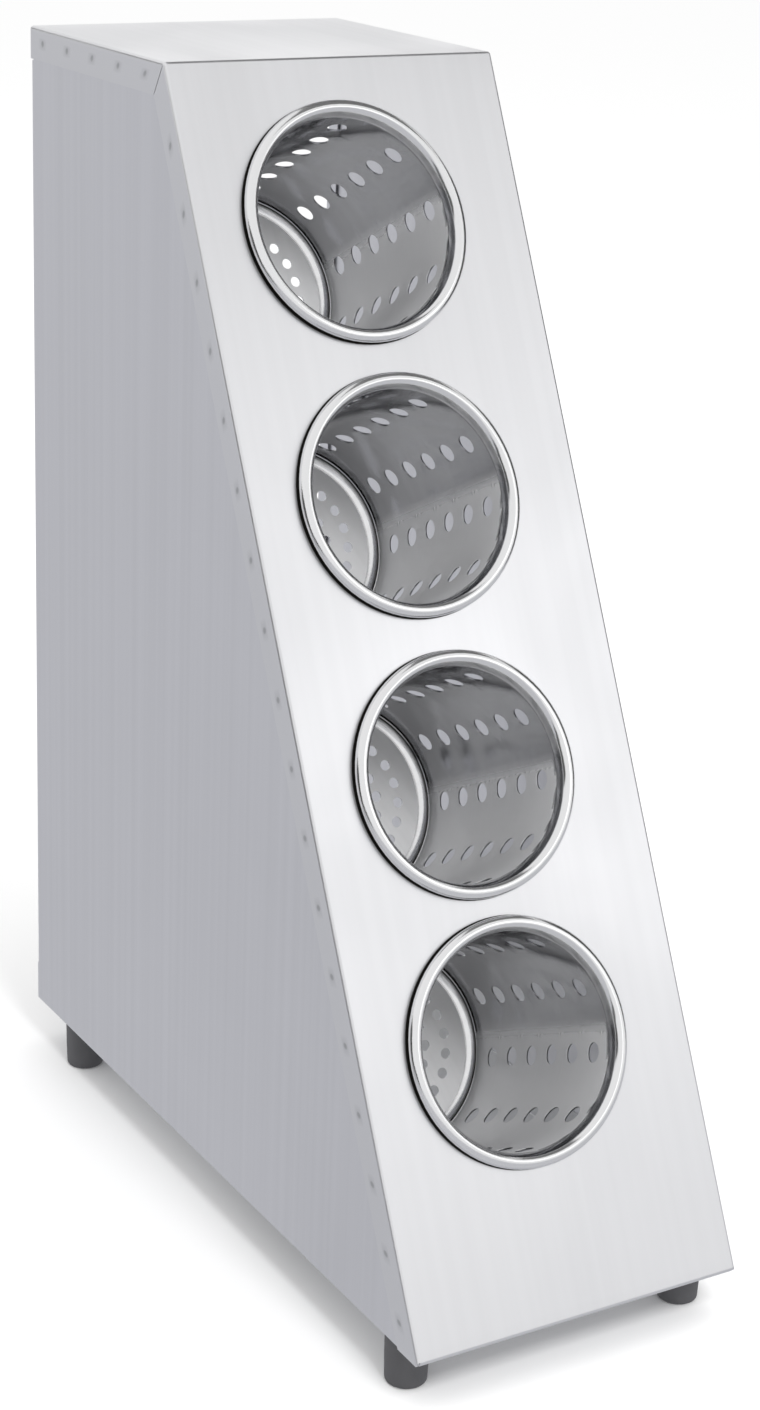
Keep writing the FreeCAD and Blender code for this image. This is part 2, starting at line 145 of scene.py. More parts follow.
def sheet(points, ring=False, keep=None, flip=False, unrolled=None, **marks):
    """A grid of points with its faces. A face looks along its rows' direction crossed with its columns',
    and flip turns it over. A ring's last column meets its first. keep is a mask of the faces that stay.

    unrolled gives every point, and in a ring one column more, its place in millimetres on the sheet
    before it was rolled up, so that a pattern can follow the metal. Marks are masks from 0 to 1 over the
    points: where heat has stained the metal, where shade in a crevice or under a rim is painted dark as
    painted shade, and where light falling on a cylinder's lower wall is painted lighter as painted light.
    """
    rows, columns = points.shape[:2]
    wide = columns + 1 if ring else columns
    row, column = np.meshgrid(np.arange(rows - 1), np.arange(wide - 1), indexing="ij")
    corners = np.stack([
        np.stack([row, row + 1, row + 1, row], axis=-1),
        np.stack([column, column, column + 1, column + 1], axis=-1),
    ], axis=-1).reshape(-1, 4, 2)
    if keep is not None:
        corners = corners[keep.ravel()]
    if flip:
        corners = corners[:, ::-1]
    faces = corners[..., 0] * columns + corners[..., 1] % columns
    if unrolled is None:
        unrolled = np.zeros((rows, wide, 2))
    masks = [np.broadcast_to(marks.get(mark, 0.0), (rows, columns)).ravel() for mark in MARKS]
    return points.reshape(-1, 3), faces, unrolled[corners[..., 0], corners[..., 1]], np.stack(masks)


# %% A piece sewn from several grids
def placed(name, data):
    """A new object in the scene."""
    made = bpy.data.objects.new(name, data)
    bpy.context.scene.collection.objects.link(made)
    return made


def values(items, name, width=1):
    """What all points or faces of a mesh say under one name, as rows of numbers."""
    found = np.zeros(len(items) * width)
    items.foreach_get(name, found)
    return found.reshape(-1, width)


def piece(name, grids):
    """An object made of grids: each one's point numbers are raised by the number of points before it, and
    points closer than a hundredth of a millimetre become one."""
    points = np.concatenate([grid[0] for grid in grids]) * MM
    starts = np.cumsum([0] + [len(grid[0]) for grid in grids[:-1]])
    faces = np.concatenate([grid[1] + start for grid, start in zip(grids, starts)])
    mesh = bpy.data.meshes.new(name)
    mesh.from_pydata(points.tolist(), [], faces.tolist())
    unrolled = mesh.uv_layers.new(name="unrolled")
    unrolled.data.foreach_set("uv", (np.concatenate([grid[2] for grid in grids]) * MM).ravel())
    masks = np.concatenate([grid[3] for grid in grids], axis=1)
    for mark, mask in zip(MARKS, masks):
        mesh.attributes.new(mark, "FLOAT", "POINT").data.foreach_set("value", mask)
    work = bmesh.new()
    work.from_mesh(mesh)
    bmesh.ops.remove_doubles(work, verts=work.verts, dist=0.01 * MM)
    work.to_mesh(mesh)
    work.free()
    return placed(name, mesh)


# %% Gauge, deburred edges, and smooth shading that leaves flats flat
def finish_sheet(made, gauge, edge=0.2, steps=2, sharp=40.0):
    """Gives a sheet its gauge behind its faces, rounds its cut edges, and settles both into the mesh."""
    if gauge:
        thick = made.modifiers.new("gauge", "SOLIDIFY")
        thick.thickness = gauge * MM
        thick.offset = -1.0
        thick.use_even_offset = True
    if edge:
        deburr = made.modifiers.new("deburr", "BEVEL")
        deburr.width = edge * MM
        deburr.segments = steps
        deburr.limit_method = "ANGLE"
        deburr.angle_limit = math.radians(sharp)
        deburr.use_clamp_overlap = True
    depsgraph = bpy.context.evaluated_depsgraph_get()
    solid = bpy.data.meshes.new_from_object(made.evaluated_get(depsgraph))
    made.modifiers.clear()
    made.data = solid
    solid.polygons.foreach_set("use_smooth", np.ones(len(solid.polygons), dtype=bool))
    solid.set_sharp_from_angle(angle=math.radians(sharp))
    even = made.modifiers.new("even_shading", "WEIGHTED_NORMAL")
    even.keep_sharp = True
    even.weight = 80
    print(f"{made.name}: {len(solid.vertices)} points, {len(solid.polygons)} faces")


# %% [markdown]
# ## Holes without ragged edges
#
# A round hole cut from a grid would leave teeth. Instead each hole gets a cell of its own: rings of points
# that start on the circle and end on a rectangle, evenly spaced on each side, so that cells side by side
# share their border points and sew up into one sheet.


# %% A cell that goes from a round hole to a square border
def unit(angle):
    """(cos, sin) of an angle: the point of a circle of radius 1."""
    return np.stack([np.cos(angle), np.sin(angle)], axis=-1)


def circle_and_square(per_side):
    """Two matching loops of 4 * per_side points, counter-clockwise from the lower left: a circle of radius
    1 at even angles, and the border of a square that reaches from -1 to 1, evenly spaced on each side."""
    step = np.arange(per_side) / per_side * 2 - 1
    low = np.full(per_side, -1.0)
    square = np.stack([
        np.concatenate([step, -low, -step, low]),
        np.concatenate([low, step, -low, -step]),
    ], axis=-1)
    angle = np.radians(225) + 2 * np.pi * np.arange(4 * per_side) / (4 * per_side)
    return unit(angle), square


def rings_between(inner, outer, rings):
    """Loops of points mixed in equal steps from the inner loop to the outer one."""
    mix = np.linspace(0, 1, rings + 1)[:, None, None]
    return inner * (1 - mix) + outer * mix


print("a hole's edge with 8 points to a side:", circle_and_square(8)[0].shape)

# %% [markdown]
# ## The folded wrapper
#
# Top and sloped front are one sheet. It is bent across at the top's rear edge, at the top front edge and
# under the toe, and both sides are bent back into laps that lie over the side panels. The sheet could be
# modelled flat and bent by modifiers, but a formula keeps every bend's radius true: walk along the side
# view, and at each station walk across from one lap's edge to the other's.


# %% The side view, as straight runs and arcs
BEND_STEPS = 6


def bend_between(corner, before, after):
    """Middle, outward normals and run taken up by a bend between two directions of the side view.

    The middle lies inside the corner, as far from both runs as the bend's radius. The normals turn evenly
    from one run's to the other's, and the bend takes up radius * tan(half the turn) of each run.
    """
    before, after = np.array(before), np.array(after)
    normal_before = np.array([before[1], -before[0]])
    normal_after = np.array([after[1], -after[0]])
    half = math.acos(float(np.clip(before @ after, -1, 1))) / 2
    middle = np.array(corner) - (normal_before + normal_after) / (2 * math.cos(half) ** 2) * BEND
    angle = math.atan2(normal_before[1], normal_before[0]) + np.linspace(0, 2 * half, BEND_STEPS + 1)
    return middle, unit(angle), math.tan(half) * BEND


upward, forward, backward, downhill = (0.0, 1.0), (-1.0, 0.0), (1.0, 0.0), (-SIN, -COS)
SLOPE_LENGTH = HEIGHT / COS
rear_bend = bend_between((BACK, TOP), upward, forward)
front_bend = bend_between(on_slope(0), forward, downhill)
toe_bend = bend_between(on_slope(SLOPE_LENGTH), downhill, backward)
print("bends take up", [round(float(bend[2]), 2) for bend in (rear_bend, front_bend, toe_bend)], "mm")

# %% Stations along the two runs, and across the sheet
CELL_HALF = 62.0
CELL_STEPS = 24
CELL_EDGES = np.array([15.5, 146.25, 278.5, 408.0, 536.0])
FLAT_EDGE = WIDTH / 2 - BEND
LEAD_STEPS = 3
WELD_STEPS = 6
TOP_WELD_STEPS = 5
cell_stations = [
    np.linspace(low, high, CELL_STEPS + 1)[:-1] for low, high in zip(CELL_EDGES, CELL_EDGES[1:])
]
top_run = np.linspace(rear_bend[2], TOP_DEPTH - front_bend[2], 5 * TOP_WELD_STEPS + 1)
slope_run = np.concatenate([
    np.linspace(front_bend[2], CELL_EDGES[0], LEAD_STEPS + 1)[:-1],
    *cell_stations,
    np.linspace(CELL_EDGES[-1], SLOPE_LENGTH - toe_bend[2], 2 * WELD_STEPS + 1),
])
across_cells = np.linspace(ROW_SHIFT - CELL_HALF, ROW_SHIFT + CELL_HALF, CELL_STEPS + 1)
across = np.concatenate([
    np.linspace(-FLAT_EDGE, across_cells[0], 4)[:-1],
    across_cells,
    np.linspace(across_cells[-1], FLAT_EDGE, 6)[1:],
])
side_turn = np.linspace(0, np.pi / 2, BEND_STEPS + 1)[1:]
bend_depth, bend_reach = BEND * (1 - np.cos(side_turn)), BEND * np.sin(side_turn)
column_x = np.concatenate([-FLAT_EDGE - bend_reach[::-1], across, FLAT_EDGE + bend_reach])
column_depth = np.concatenate([bend_depth[::-1], 0 * across, bend_depth])
print(len(slope_run), "stations down the slope,", len(column_x), "across it")


# %% A run of the sheet at any depth behind its outer face
MITRE_GAP = 0.25
RELIEF = 0.3
SHORT_OF_BASE = 0.3


def beside(x, side_view):
    """Points from places across and (y, z) points of the side view, spread over one grid."""
    return np.stack(np.broadcast_arrays(x, side_view[..., 0], side_view[..., 1]), axis=-1)


def mitre_end(depth, run, normal):
    """Where a run ends beside the top front corner. Down to the bend's own middle this is a point of the
    bend. Deeper, the two laps part along the mitre, and each keeps back from it by half the open seam,
    which starts from a small round relief so that the sheet can't tear there."""
    middle, normals, _ = front_bend
    depth = np.asarray(depth, dtype=float)[..., None]
    mitre = (normals[0] + normals[-1]) / (1 + normals[0] @ normals[-1])
    bent = middle + np.maximum(BEND - depth, RELIEF) * normal
    parted = middle - (depth - BEND) * mitre + np.array(run) * MITRE_GAP
    return np.where(depth <= BEND + 0.001, bent, parted)


def top_ends(depth):
    """The top's rear and front end at a depth under it."""
    start = np.stack([0 * depth + BACK - rear_bend[2], TOP - depth], axis=-1)
    return start, mitre_end(depth, backward, front_bend[1][0])


def slope_ends(depth):
    """The slope's upper and lower end at a depth behind it. The laps run on down to the underside."""
    end = np.stack(on_slope(SLOPE_LENGTH - toe_bend[2], depth), axis=-1)
    drop = (end[..., 1] - BASE - SHORT_OF_BASE) / COS * np.minimum(1.0, depth / BEND)
    return mitre_end(depth, downhill, front_bend[1][-1]), end + drop[..., None] * np.array(downhill)


def on_run(ends, run, along, depth, x):
    """Points of a run: along it, at a depth behind its outer face, and across at x."""
    along, depth = np.broadcast_arrays(along, depth)
    start, end = ends(depth)
    share = ((along - run[0]) / (run[-1] - run[0]))[..., None]
    return beside(x, start + share * (end - start))


def flange(bend, run, length, steps):
    """A bend and the straight flange after it, over the flat width only: the corners are notched, because
    a sheet can't be bent across a bend."""
    middle, normals, _ = bend
    curve = middle + BEND * normals
    straight = curve[-1] + np.linspace(0, length, steps + 1)[1:, None] * np.array(run)
    return beside(across, np.concatenate([curve, straight])[:, None])


top_grid = on_run(top_ends, top_run, top_run[:, None], column_depth, column_x)
slope_grid = on_run(slope_ends, slope_run, slope_run[:, None], column_depth, column_x)
corner_radius = np.maximum(BEND - column_depth, RELIEF)[None, :, None]
corner_grid = beside(column_x, front_bend[0] + corner_radius * front_bend[1][:, None, :])
lip_bend = (rear_bend[0], rear_bend[1][::-1], rear_bend[2])
lip_grid = flange(lip_bend, (0.0, -1.0), LAP - BEND, 3)
toe_grid = flange(toe_bend, backward, LAP - BEND, 3)
print("grids:", top_grid.shape, corner_grid.shape, slope_grid.shape, lip_grid.shape, toe_grid.shape)

# %% [markdown]
# ## Laps with spot welds
#
# The laps are held to the side panels by a row of spot welds. The electrode presses a shallow dish into
# the sheet and its heat leaves the metal a little darker. Each weld gets a cell like a hole's, but with
# the hole filled by rings that sink towards the middle.

# %% Weld cells of a lap
WELD_RADIUS = 1.9
WELD_DEPTH = 0.16
SLOPE_WELDS_IN = 9.5
TOP_WELDS_IN = 7.5
HEAT_REACH = 1.2
HEAT_MOST = 0.7


def weld_cell(ends, run, side, start, end, per_side, welds_in):
    """Grids of one weld: rings from a square border to the dish's edge, and rings down into the dish."""
    circle, square = circle_and_square(per_side)
    middle = np.array([(start + end) / 2, welds_in])
    half = np.array([(end - start) / 2, (LAP - BEND) / 2])
    border = square * half + (middle[0], (BEND + LAP) / 2)
    flat = rings_between(circle * WELD_RADIUS + middle, border, 4)
    dish = rings_between(0 * circle + middle, circle * WELD_RADIUS + middle, 5)
    for spot, sink in ((flat, 0.0), (dish, WELD_DEPTH)):
        distance = np.hypot(*(spot - middle).transpose(2, 0, 1)) / WELD_RADIUS
        x = side * (WIDTH / 2 - sink * np.clip(1 - distance ** 2, 0, 1))
        points = on_run(ends, run, spot[..., 0], spot[..., 1], x)
        heat = np.clip(HEAT_REACH - distance, 0, HEAT_MOST)
        yield sheet(points, ring=True, flip=side < 0, welded=heat)


def lap(ends, run, side, weld_starts, per_side, welds_in):
    """A lap: weld cells where there are welds, and plain strips between them."""
    grids = []
    depths = np.linspace(BEND, LAP, per_side + 1)
    row = 0
    while row < len(run) - 1:
        if row in weld_starts:
            grids += weld_cell(ends, run, side, run[row], run[row + per_side], per_side, welds_in)
            row += per_side
        else:
            strip = on_run(ends, run, run[row:row + 2, None], depths, side * WIDTH / 2)
            grids.append(sheet(strip, flip=side < 0))
            row += 1
    return grids


slope_welds = range(LEAD_STEPS, len(slope_run) - 1, WELD_STEPS)
top_welds = range(0, len(top_run) - 1, TOP_WELD_STEPS)
laps = []
for side in (-1, 1):
    laps += lap(slope_ends, slope_run, side, slope_welds, WELD_STEPS, SLOPE_WELDS_IN)
    laps += lap(top_ends, top_run, side, top_welds, TOP_WELD_STEPS, TOP_WELDS_IN)
print(2 * (len(slope_welds) + len(top_welds)), "spot welds")

# %% The holed cells of the slope, and the sheet sewn up
HOLE_RADIUS = 52.75
RIM_RADIUS = 58.5
# painted shade: steps from the rim's edge at which the near-black line under each rim starts, is full and
# ends
SHADE_STEPS = (-1.8, -1.3, 0.1, 0.5)
middle_x = (slope_grid[:-1, :-1, 0] + slope_grid[1:, 1:, 0]) / 2
middle_run = (slope_run[:-1, None] + slope_run[1:, None]) / 2
in_row = abs(middle_x - ROW_SHIFT) < CELL_HALF
in_cells = in_row & (middle_run > CELL_EDGES[0]) & (middle_run < CELL_EDGES[-1])


def slope_cell(index):
    """One cylinder's hole in a rectangle of the slope. The line of painted shade under a rim, which stands
    for the shade in the crevice there, starts, is full and ends at four steps from the rim's edge."""
    circle, square = circle_and_square(CELL_STEPS)
    low, high = CELL_EDGES[index:index + 2]
    border = square * (CELL_HALF, (low - high) / 2) + (0, (low + high) / 2)
    radii = (HOLE_RADIUS, *(RIM_RADIUS + step for step in SHADE_STEPS))
    rounds = [circle * (radius, -radius) + (0, CYLINDER_DOWN[index]) for radius in radii]
    cell = np.concatenate([rounds[:-1], rings_between(rounds[-1], border, 4)])
    # painted shade: the rings just under the rim's edge are painted near black, where shade falls in the
    # crevice
    dirt = np.zeros(cell.shape[:2])
    dirt[2:4] = 1.0
    y, z = on_slope(cell[..., 1])
    return sheet(np.stack([ROW_SHIFT + cell[..., 0], y, z], axis=-1), ring=True, dirt=dirt)


wrapper = piece("wrapper_sheet", [
    sheet(top_grid),
    sheet(corner_grid),
    sheet(slope_grid, keep=~in_cells),
    sheet(toe_grid),
    sheet(lip_grid, flip=True),
    *laps,
    *[slope_cell(index) for index in CYLINDERS],
])
finish_sheet(wrapper, GAUGE, edge=0.15)
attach(wrapper, "cabinet")
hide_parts("front_top_wrapper")

# %% The painted shade is on the outer face, so the inner face loses the mark it got with its gauge
_, y, z = values(wrapper.data.vertices, "co", 3).T / MM
dirt_data = wrapper.data.attributes["dirt"].data
dirt = np.where((y - slope_y(z)) * COS > GAUGE / 2, 0.0, values(dirt_data, "value").ravel())
dirt_data.foreach_set("value", dirt)
print(int((dirt > 0).sum()), "points in the four lines of dirt")

# %% [markdown]
# ## Side panels
#
# A side panel is a flat sheet. A raw rear edge would cut a hand, so it is folded flat on itself, which
# sheet workers call a hem. Flat sheet needs few points, but they have to meet: the columns fan out from
# the slope to a straight line, and from there they are the same at every height, so that the hem and the
# notches for the rear lip, the toe and the tray can take them over.

# %% Sizes of a side panel
PANEL_FACE = WIDTH / 2 - GAUGE
CLEARANCE = 1.0
UNDER_SHEET = GAUGE + CLEARANCE
PAN_UNDER = BASE + GAUGE
PAN_RIM = PAN_UNDER + 20.0
HEM = 10.0
FOLD_STEPS = 8
FOLD_GAP = 0.05
FAN_TO = 100.0
REAR_COLUMN = 150.0
before_fold, before_lip = BACK - GAUGE, BACK - UNDER_SHEET
toe_end = slope_y(BASE, LAP) + CLEARANCE
over_toe, over_pan, under_lip = BASE + UNDER_SHEET, PAN_RIM + CLEARANCE, TOP - LAP - CLEARANCE
toe_share = (toe_end - slope_y(over_toe, UNDER_SHEET)) / (FAN_TO - slope_y(over_toe, UNDER_SHEET))
shares = np.concatenate([[0.0, toe_share], np.linspace(0.2, 1.0, 5)])
print(f"the hem runs from {over_pan:.1f} to {under_lip:.1f} mm and is {HEM:.0f} mm wide")


# %% Rows of a panel, from the slope to the rear
def panel_rows(heights):
    """(y, z) of every column at each height: shares of the way from the slope to the fan's end, then
    fixed places up to the fold."""
    heights = np.asarray(heights, dtype=float)[:, None]
    front = slope_y(heights, UNDER_SHEET)
    fan = front + shares * (FAN_TO - front)
    fixed = np.broadcast_to([REAR_COLUMN, before_lip, before_fold], (len(heights), 3))
    y = np.concatenate([fan, fixed], axis=1)
    return np.stack([y, heights + 0 * y], axis=-1)


def side_panel(name, node, side):
    """The sheet lies at one distance from the middle. The fold is half a turn about a line in the sheet,
    and its two layers are thinned by a hair, so that they don't touch."""
    def stand(flat, x=PANEL_FACE):
        """One grid of the panel, with its (y, z) points stood up at x."""
        return sheet(beside(side * x, flat), flip=side > 0)

    hem_rows = np.linspace(over_pan, under_lip, 12)
    main = panel_rows([over_toe, *hem_rows])
    top = panel_rows([under_lip, TOP - UNDER_SHEET])[:, :-1]
    foot = np.repeat(main[:1, 1:], 2, axis=0)
    foot[0, :, 1] = BASE
    behind = np.array([[(y, z) for y in (before_fold, BACK)] for z in (BASE, over_toe, over_pan)])
    turn = np.linspace(0, np.pi, FOLD_STEPS + 1)
    across_fold = np.append(PANEL_FACE - GAUGE + GAUGE * np.cos(turn), PANEL_FACE - 2 * GAUGE)
    along_fold = np.append(before_fold + GAUGE * np.sin(turn), BACK - HEM)
    fold = np.stack(np.broadcast_arrays(along_fold, hem_rows[:, None]), axis=-1)
    made = piece(name, [stand(main), stand(top), stand(foot), stand(behind), stand(fold, across_fold)])
    finish_sheet(made, GAUGE - FOLD_GAP, edge=0.15)
    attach(made, "cabinet")
    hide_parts(node)


side_panel("left_hemmed_sheet", "left_side_panel", -1)
side_panel("right_hemmed_sheet", "right_side_panel", 1)

# %% [markdown]
# ## The tray underneath
#
# The tray closes the bottom, keeps the sides apart and carries the feet. It is folded from one sheet too:
# a flat bottom with four walls bent up, and a slot left open at each corner where the sheet was notched.

# %% The tray's side view, and its places across
PAN_HALF = PANEL_FACE - GAUGE
FOOT_HOLE = 3.3
HOLE_CELL = 6.0
HOLE_STEPS = 6
WALL_GAP = 0.3
feet = {place: sum(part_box(f"{place}_foot"), Vector()) / 2 / MM
        for place in ("front_left", "front_right", "rear_left", "rear_right")}
pan_front = bend_between((slope_y(PAN_UNDER, GAUGE), PAN_UNDER), downhill, backward)
pan_rear = bend_between((BACK, PAN_UNDER), backward, upward)


def stations(low, high, middles):
    """Places between two ends, with a hole cell's even steps about each middle."""
    cells = [np.linspace(middle - HOLE_CELL, middle + HOLE_CELL, HOLE_STEPS + 1) for middle in middles]
    gaps = [low, *[value for cell in cells for value in (cell[0], cell[-1])], high]
    runs = [np.linspace(start, end, 5)[:-1] for start, end in zip(gaps[::2], gaps[1::2])]
    parts = [part for pair in zip(runs, [cell[:-1] for cell in cells]) for part in pair]
    return np.concatenate([*parts, runs[-1], [high]])


pan_x = stations(-PAN_HALF + BEND, PAN_HALF - BEND, (feet["front_left"].x, feet["front_right"].x))
pan_y = stations(pan_front[0][0], pan_rear[0][0], (feet["front_left"].y, feet["rear_left"].y))
print("the tray's bottom has", len(pan_x), "by", len(pan_y), "points")

# %% Bottom, walls and foot holes
wall_heights = np.linspace(pan_rear[0][1], PAN_RIM, 4)
front_wall = np.stack([slope_y(wall_heights[::-1], GAUGE), wall_heights[::-1]], axis=-1)
front_line = np.concatenate([front_wall[:-1], pan_front[0] + BEND * pan_front[1]])
rear_line = np.concatenate([pan_rear[0] + BEND * pan_rear[1], [(BACK, z) for z in wall_heights[1:]]])


def across_pan(line):
    """A line of the side view carried across the tray."""
    return beside(pan_x, np.asarray(line)[:, None])


def pan_side(side):
    """A side wall: a quarter turn about the bottom's edge, then straight up. Above the bend its front edge
    keeps clear of the leaning front wall."""
    turn = np.linspace(0, np.pi / 2, BEND_STEPS + 1)
    x = np.concatenate([PAN_HALF - BEND + BEND * np.sin(turn), np.full(3, PAN_HALF)])
    z = np.concatenate([PAN_UNDER + BEND * (1 - np.cos(turn)), wall_heights[1:]])
    front = np.maximum(pan_y[0], slope_y(z, 2 * GAUGE + WALL_GAP))
    share = (pan_y - pan_y[0]) / (pan_y[-1] - pan_y[0])
    y = front[:, None] + share * (pan_y[-1] - front[:, None])
    points = np.stack(np.broadcast_arrays(side * x[:, None], y, z[:, None]), axis=-1)
    return sheet(points, flip=side > 0)


def lifted(flat, height):
    """Flat points (x, y) lifted to a height."""
    return np.concatenate([flat, np.full(flat.shape[:2] + (1,), height)], axis=-1)


bottom = across_pan([(y, PAN_UNDER) for y in pan_y])
middle_of = (bottom[:-1, :-1] + bottom[1:, 1:]) / 2
over_hole = np.zeros(middle_of.shape[:2], dtype=bool)
foot_cells = []
circle, square = circle_and_square(HOLE_STEPS)
for foot in feet.values():
    from_foot = abs(middle_of[..., :2] - (foot.x, foot.y))
    over_hole |= (from_foot < HOLE_CELL).all(axis=-1)
    flat = rings_between(circle * FOOT_HOLE, square * HOLE_CELL, 2) + (foot.x, foot.y)
    foot_cells.append(lifted(flat, PAN_UNDER))

tray = piece("folded_tray", [
    sheet(across_pan(front_line)),
    sheet(bottom, keep=~over_hole),
    sheet(across_pan(rear_line)),
    pan_side(-1),
    pan_side(1),
    *[sheet(cell, ring=True, flip=True) for cell in foot_cells],
])
finish_sheet(tray, GAUGE, edge=0.15)
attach(tray, "cabinet")
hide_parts("base_pan")

# %% [markdown]
# ## The perforated cylinders
#
# A cylinder is a strip of perforated sheet rolled up, with its top edge rolled outwards into a bead that
# carries it on the slope. Bead and wall are one path turned round an axis. The wall is made of cells, ten
# round and six down, each with a true round hole. Every cylinder was turned by hand when it was put in, so
# no two show their holes alike.

# %% Sizes of a cylinder
WALL_RADIUS = 51.1
SLEEVE_GAUGE = 0.9
ROUND = 10
DOWN = 6
FIRST_ROW = -14.0
ROW_PITCH = 19.0
HOLE = 4.75
TAIL = -130.2
BEAD_LOW, BEAD_HIGH = 0.3, 6.0
CREST_RADIUS = 55.0
FLARE = 7.0
SIDE_POINTS = 8
SEAM = 0.55
SEAM_REACH = 2.5
SEAM_HEAT = 0.5
# painted light: how far up each cylinder's lower wall the lighter paint reaches, in degrees, and how softly
# it ends
LIT_UP_TO = (13.0, 5.0, -1.0, -2.0)
LIT_FADE = 8.0
# painted shade on the bead's underside: how dark, at which angle of the roll it is darkest, and how far it
# reaches
BEAD_SHADE = 0.9
BEAD_SHADE_AT = -28.0
BEAD_SHADE_REACH = 14.0


# %% Wall strips, perforated cells and the bead
def turned(radius, height, angle):
    """Points (radius * cos, radius * sin, height) about an upright axis, spread over one grid."""
    flat = np.broadcast_arrays(radius * np.cos(angle), radius * np.sin(angle), height)
    return np.stack(flat, axis=-1)


def marks_at(unrolled, index):
    """Heat on the line where the rolled strip's ends are welded together, which fades beside it, and
    painted light on the lower half of the wall, where light through the mouth falls, up to an angle of its
    own."""
    from_seam = abs(unrolled - SEAM * 2 * np.pi * WALL_RADIUS)
    angle = (np.degrees(unrolled / WALL_RADIUS) + TURNS[index] + 180) % 360 - 180
    into_lit = np.minimum(LIT_UP_TO[index] + LIT_FADE / 2 - angle, angle + 180)
    return {
        "welded": np.clip(1 - from_seam / SEAM_REACH, 0, 1) * SEAM_HEAT,
        "painted_light": np.clip(into_lit / LIT_FADE, 0, 1),
    }


def perforated_cells():
    """Points and unrolled places of each hole's cell. A cell is laid out flat, as the strip was when it was
    punched, and rolled by turning its width into an angle."""
    circle, square = circle_and_square(SIDE_POINTS)
    cell = rings_between(circle * HOLE, square * (WALL_RADIUS * np.pi / ROUND, ROW_PITCH / 2), 3)
    for row in range(DOWN):
        for column in range(ROUND):
            flat = cell + (2 * np.pi * WALL_RADIUS * column / ROUND, FIRST_ROW - ROW_PITCH * row)
            closed = np.concatenate([flat, flat[:, :1]], axis=1)
            yield turned(WALL_RADIUS, flat[..., 1], flat[..., 0] / WALL_RADIUS), closed, flat[..., 0]


around = np.pi / ROUND + 2 * np.pi * np.arange(ROUND * SIDE_POINTS + 1) / (ROUND * SIDE_POINTS)
holes_top = FIRST_ROW + ROW_PITCH / 2
holes_bottom = FIRST_ROW - ROW_PITCH * (DOWN - 0.5)
bead_middle = (BEAD_LOW + BEAD_HIGH) / 2
flare_angle = np.radians(np.linspace(180, 90, 13))
roll_angle = np.radians(np.linspace(90, -120, 22))[1:]
bead_radii = np.concatenate([
    CREST_RADIUS + (CREST_RADIUS - WALL_RADIUS) * np.cos(flare_angle),
    CREST_RADIUS + (RIM_RADIUS - CREST_RADIUS) * np.cos(roll_angle),
])
bead_heights = np.concatenate([
    BEAD_HIGH - FLARE + FLARE * np.sin(flare_angle),
    bead_middle + (BEAD_HIGH - bead_middle) * np.sin(roll_angle),
])


def turned_sheet(radii, heights, index, dirt=None):
    """A profile of the cylinder turned round its axis, hung in its place, with its unrolled places."""
    radii, heights = np.asarray(radii)[:, None], np.asarray(heights)[:, None]
    points = turned(radii, heights, around[:-1])
    steps = np.hypot(*(np.diff(line, axis=0, prepend=line[:1]) for line in (radii, heights)))
    along = heights[0] + np.cumsum(steps, axis=0)
    flat = np.stack(np.broadcast_arrays(around * WALL_RADIUS, along), axis=-1)
    marks = marks_at(flat[0, :-1, 0], index) if dirt is None else {"dirt": dirt[:, None]}
    return sheet(hang(points, index), ring=True, unrolled=flat, **marks)


# painted shade on the bead's underside, darkest where it curls back towards the slope
from_crevice = abs(np.degrees(roll_angle) - BEAD_SHADE_AT) / BEAD_SHADE_REACH
shade_under_bead = np.concatenate([0 * flare_angle, BEAD_SHADE * np.clip(1.3 - from_crevice, 0, 1)])
for index in CYLINDERS:
    grids = [
        turned_sheet([WALL_RADIUS] * 4, np.linspace(TAIL, holes_bottom, 4), index),
        turned_sheet([WALL_RADIUS] * 3, np.linspace(holes_top, BEAD_HIGH - FLARE, 3), index),
        turned_sheet(bead_radii, bead_heights, index, shade_under_bead),
    ]
    grids += [sheet(hang(cell, index), ring=True, flip=True, unrolled=flat, **marks_at(along, index))
              for cell, flat, along in perforated_cells()]
    sleeve = piece(f"rolled_sleeve_{index + 1}", grids)
    finish_sheet(sleeve, SLEEVE_GAUGE, edge=0.12, steps=1)
    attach(sleeve, f"cylinder_{index + 1}")
    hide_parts(f"cylinder_sleeve_{index + 1}")

# %% [markdown]
# ## The perforated floors
#
# Each floor is a disc with its edge turned up in a wide curve, pressed into the tail and welded. The groove
# where the curve meets the wall is painted near black as painted shade. Water and crumbs leave through
# three rings of holes.
# The rings are bands of cells again, this time bent round the disc's middle, and all bands have the same
# number of points round them, so they sew up.

# %% Floors
FLOOR_TOP = -126.9
FLOOR_EDGE = 50.1
FLOOR_ROUND = 7.0
EDGE_TURN = 52.0
GROOVE_FROM = 41.0
RINGS = ((34.0, 21), (22.0, 14), (10.0, 7))
RING_POINTS = 84
BAND = 6.0
FLOOR_HOLE = 2.75


def floor_cells(ring_radius, count):
    """Cells of one band: the hole is round on the disc, and the border follows the band."""
    circle, square = circle_and_square(RING_POINTS // count)
    for number in range(count):
        middle = 2 * np.pi * number / count
        border = unit(middle + square[:, 0] * np.pi / count) * (ring_radius - square[:, 1:] * BAND)
        outwards = unit(middle)
        across_ring = outwards[::-1] * (-1, 1)
        from_middle = circle[:, :1] * across_ring - circle[:, 1:] * outwards
        hole = outwards * ring_radius + FLOOR_HOLE * from_middle
        yield lifted(rings_between(hole, border, 3), FLOOR_TOP)


def floor_rings(radii, heights):
    """Rings about the disc's middle, whose points meet the border points of the cells."""
    angle = 2 * np.pi * np.arange(RING_POINTS) / RING_POINTS
    return turned(np.asarray(radii)[:, None], np.asarray(heights)[:, None], angle)


def flat_sheet(points, index, flip=False, dirt=0.0):
    """A grid of the disc, hung in its place. It was never rolled, so its pattern follows its own plane."""
    flat = np.concatenate([points, points[:, :1]], axis=1)[..., :2]
    return sheet(hang(points, index), ring=True, flip=flip, unrolled=flat, dirt=dirt)


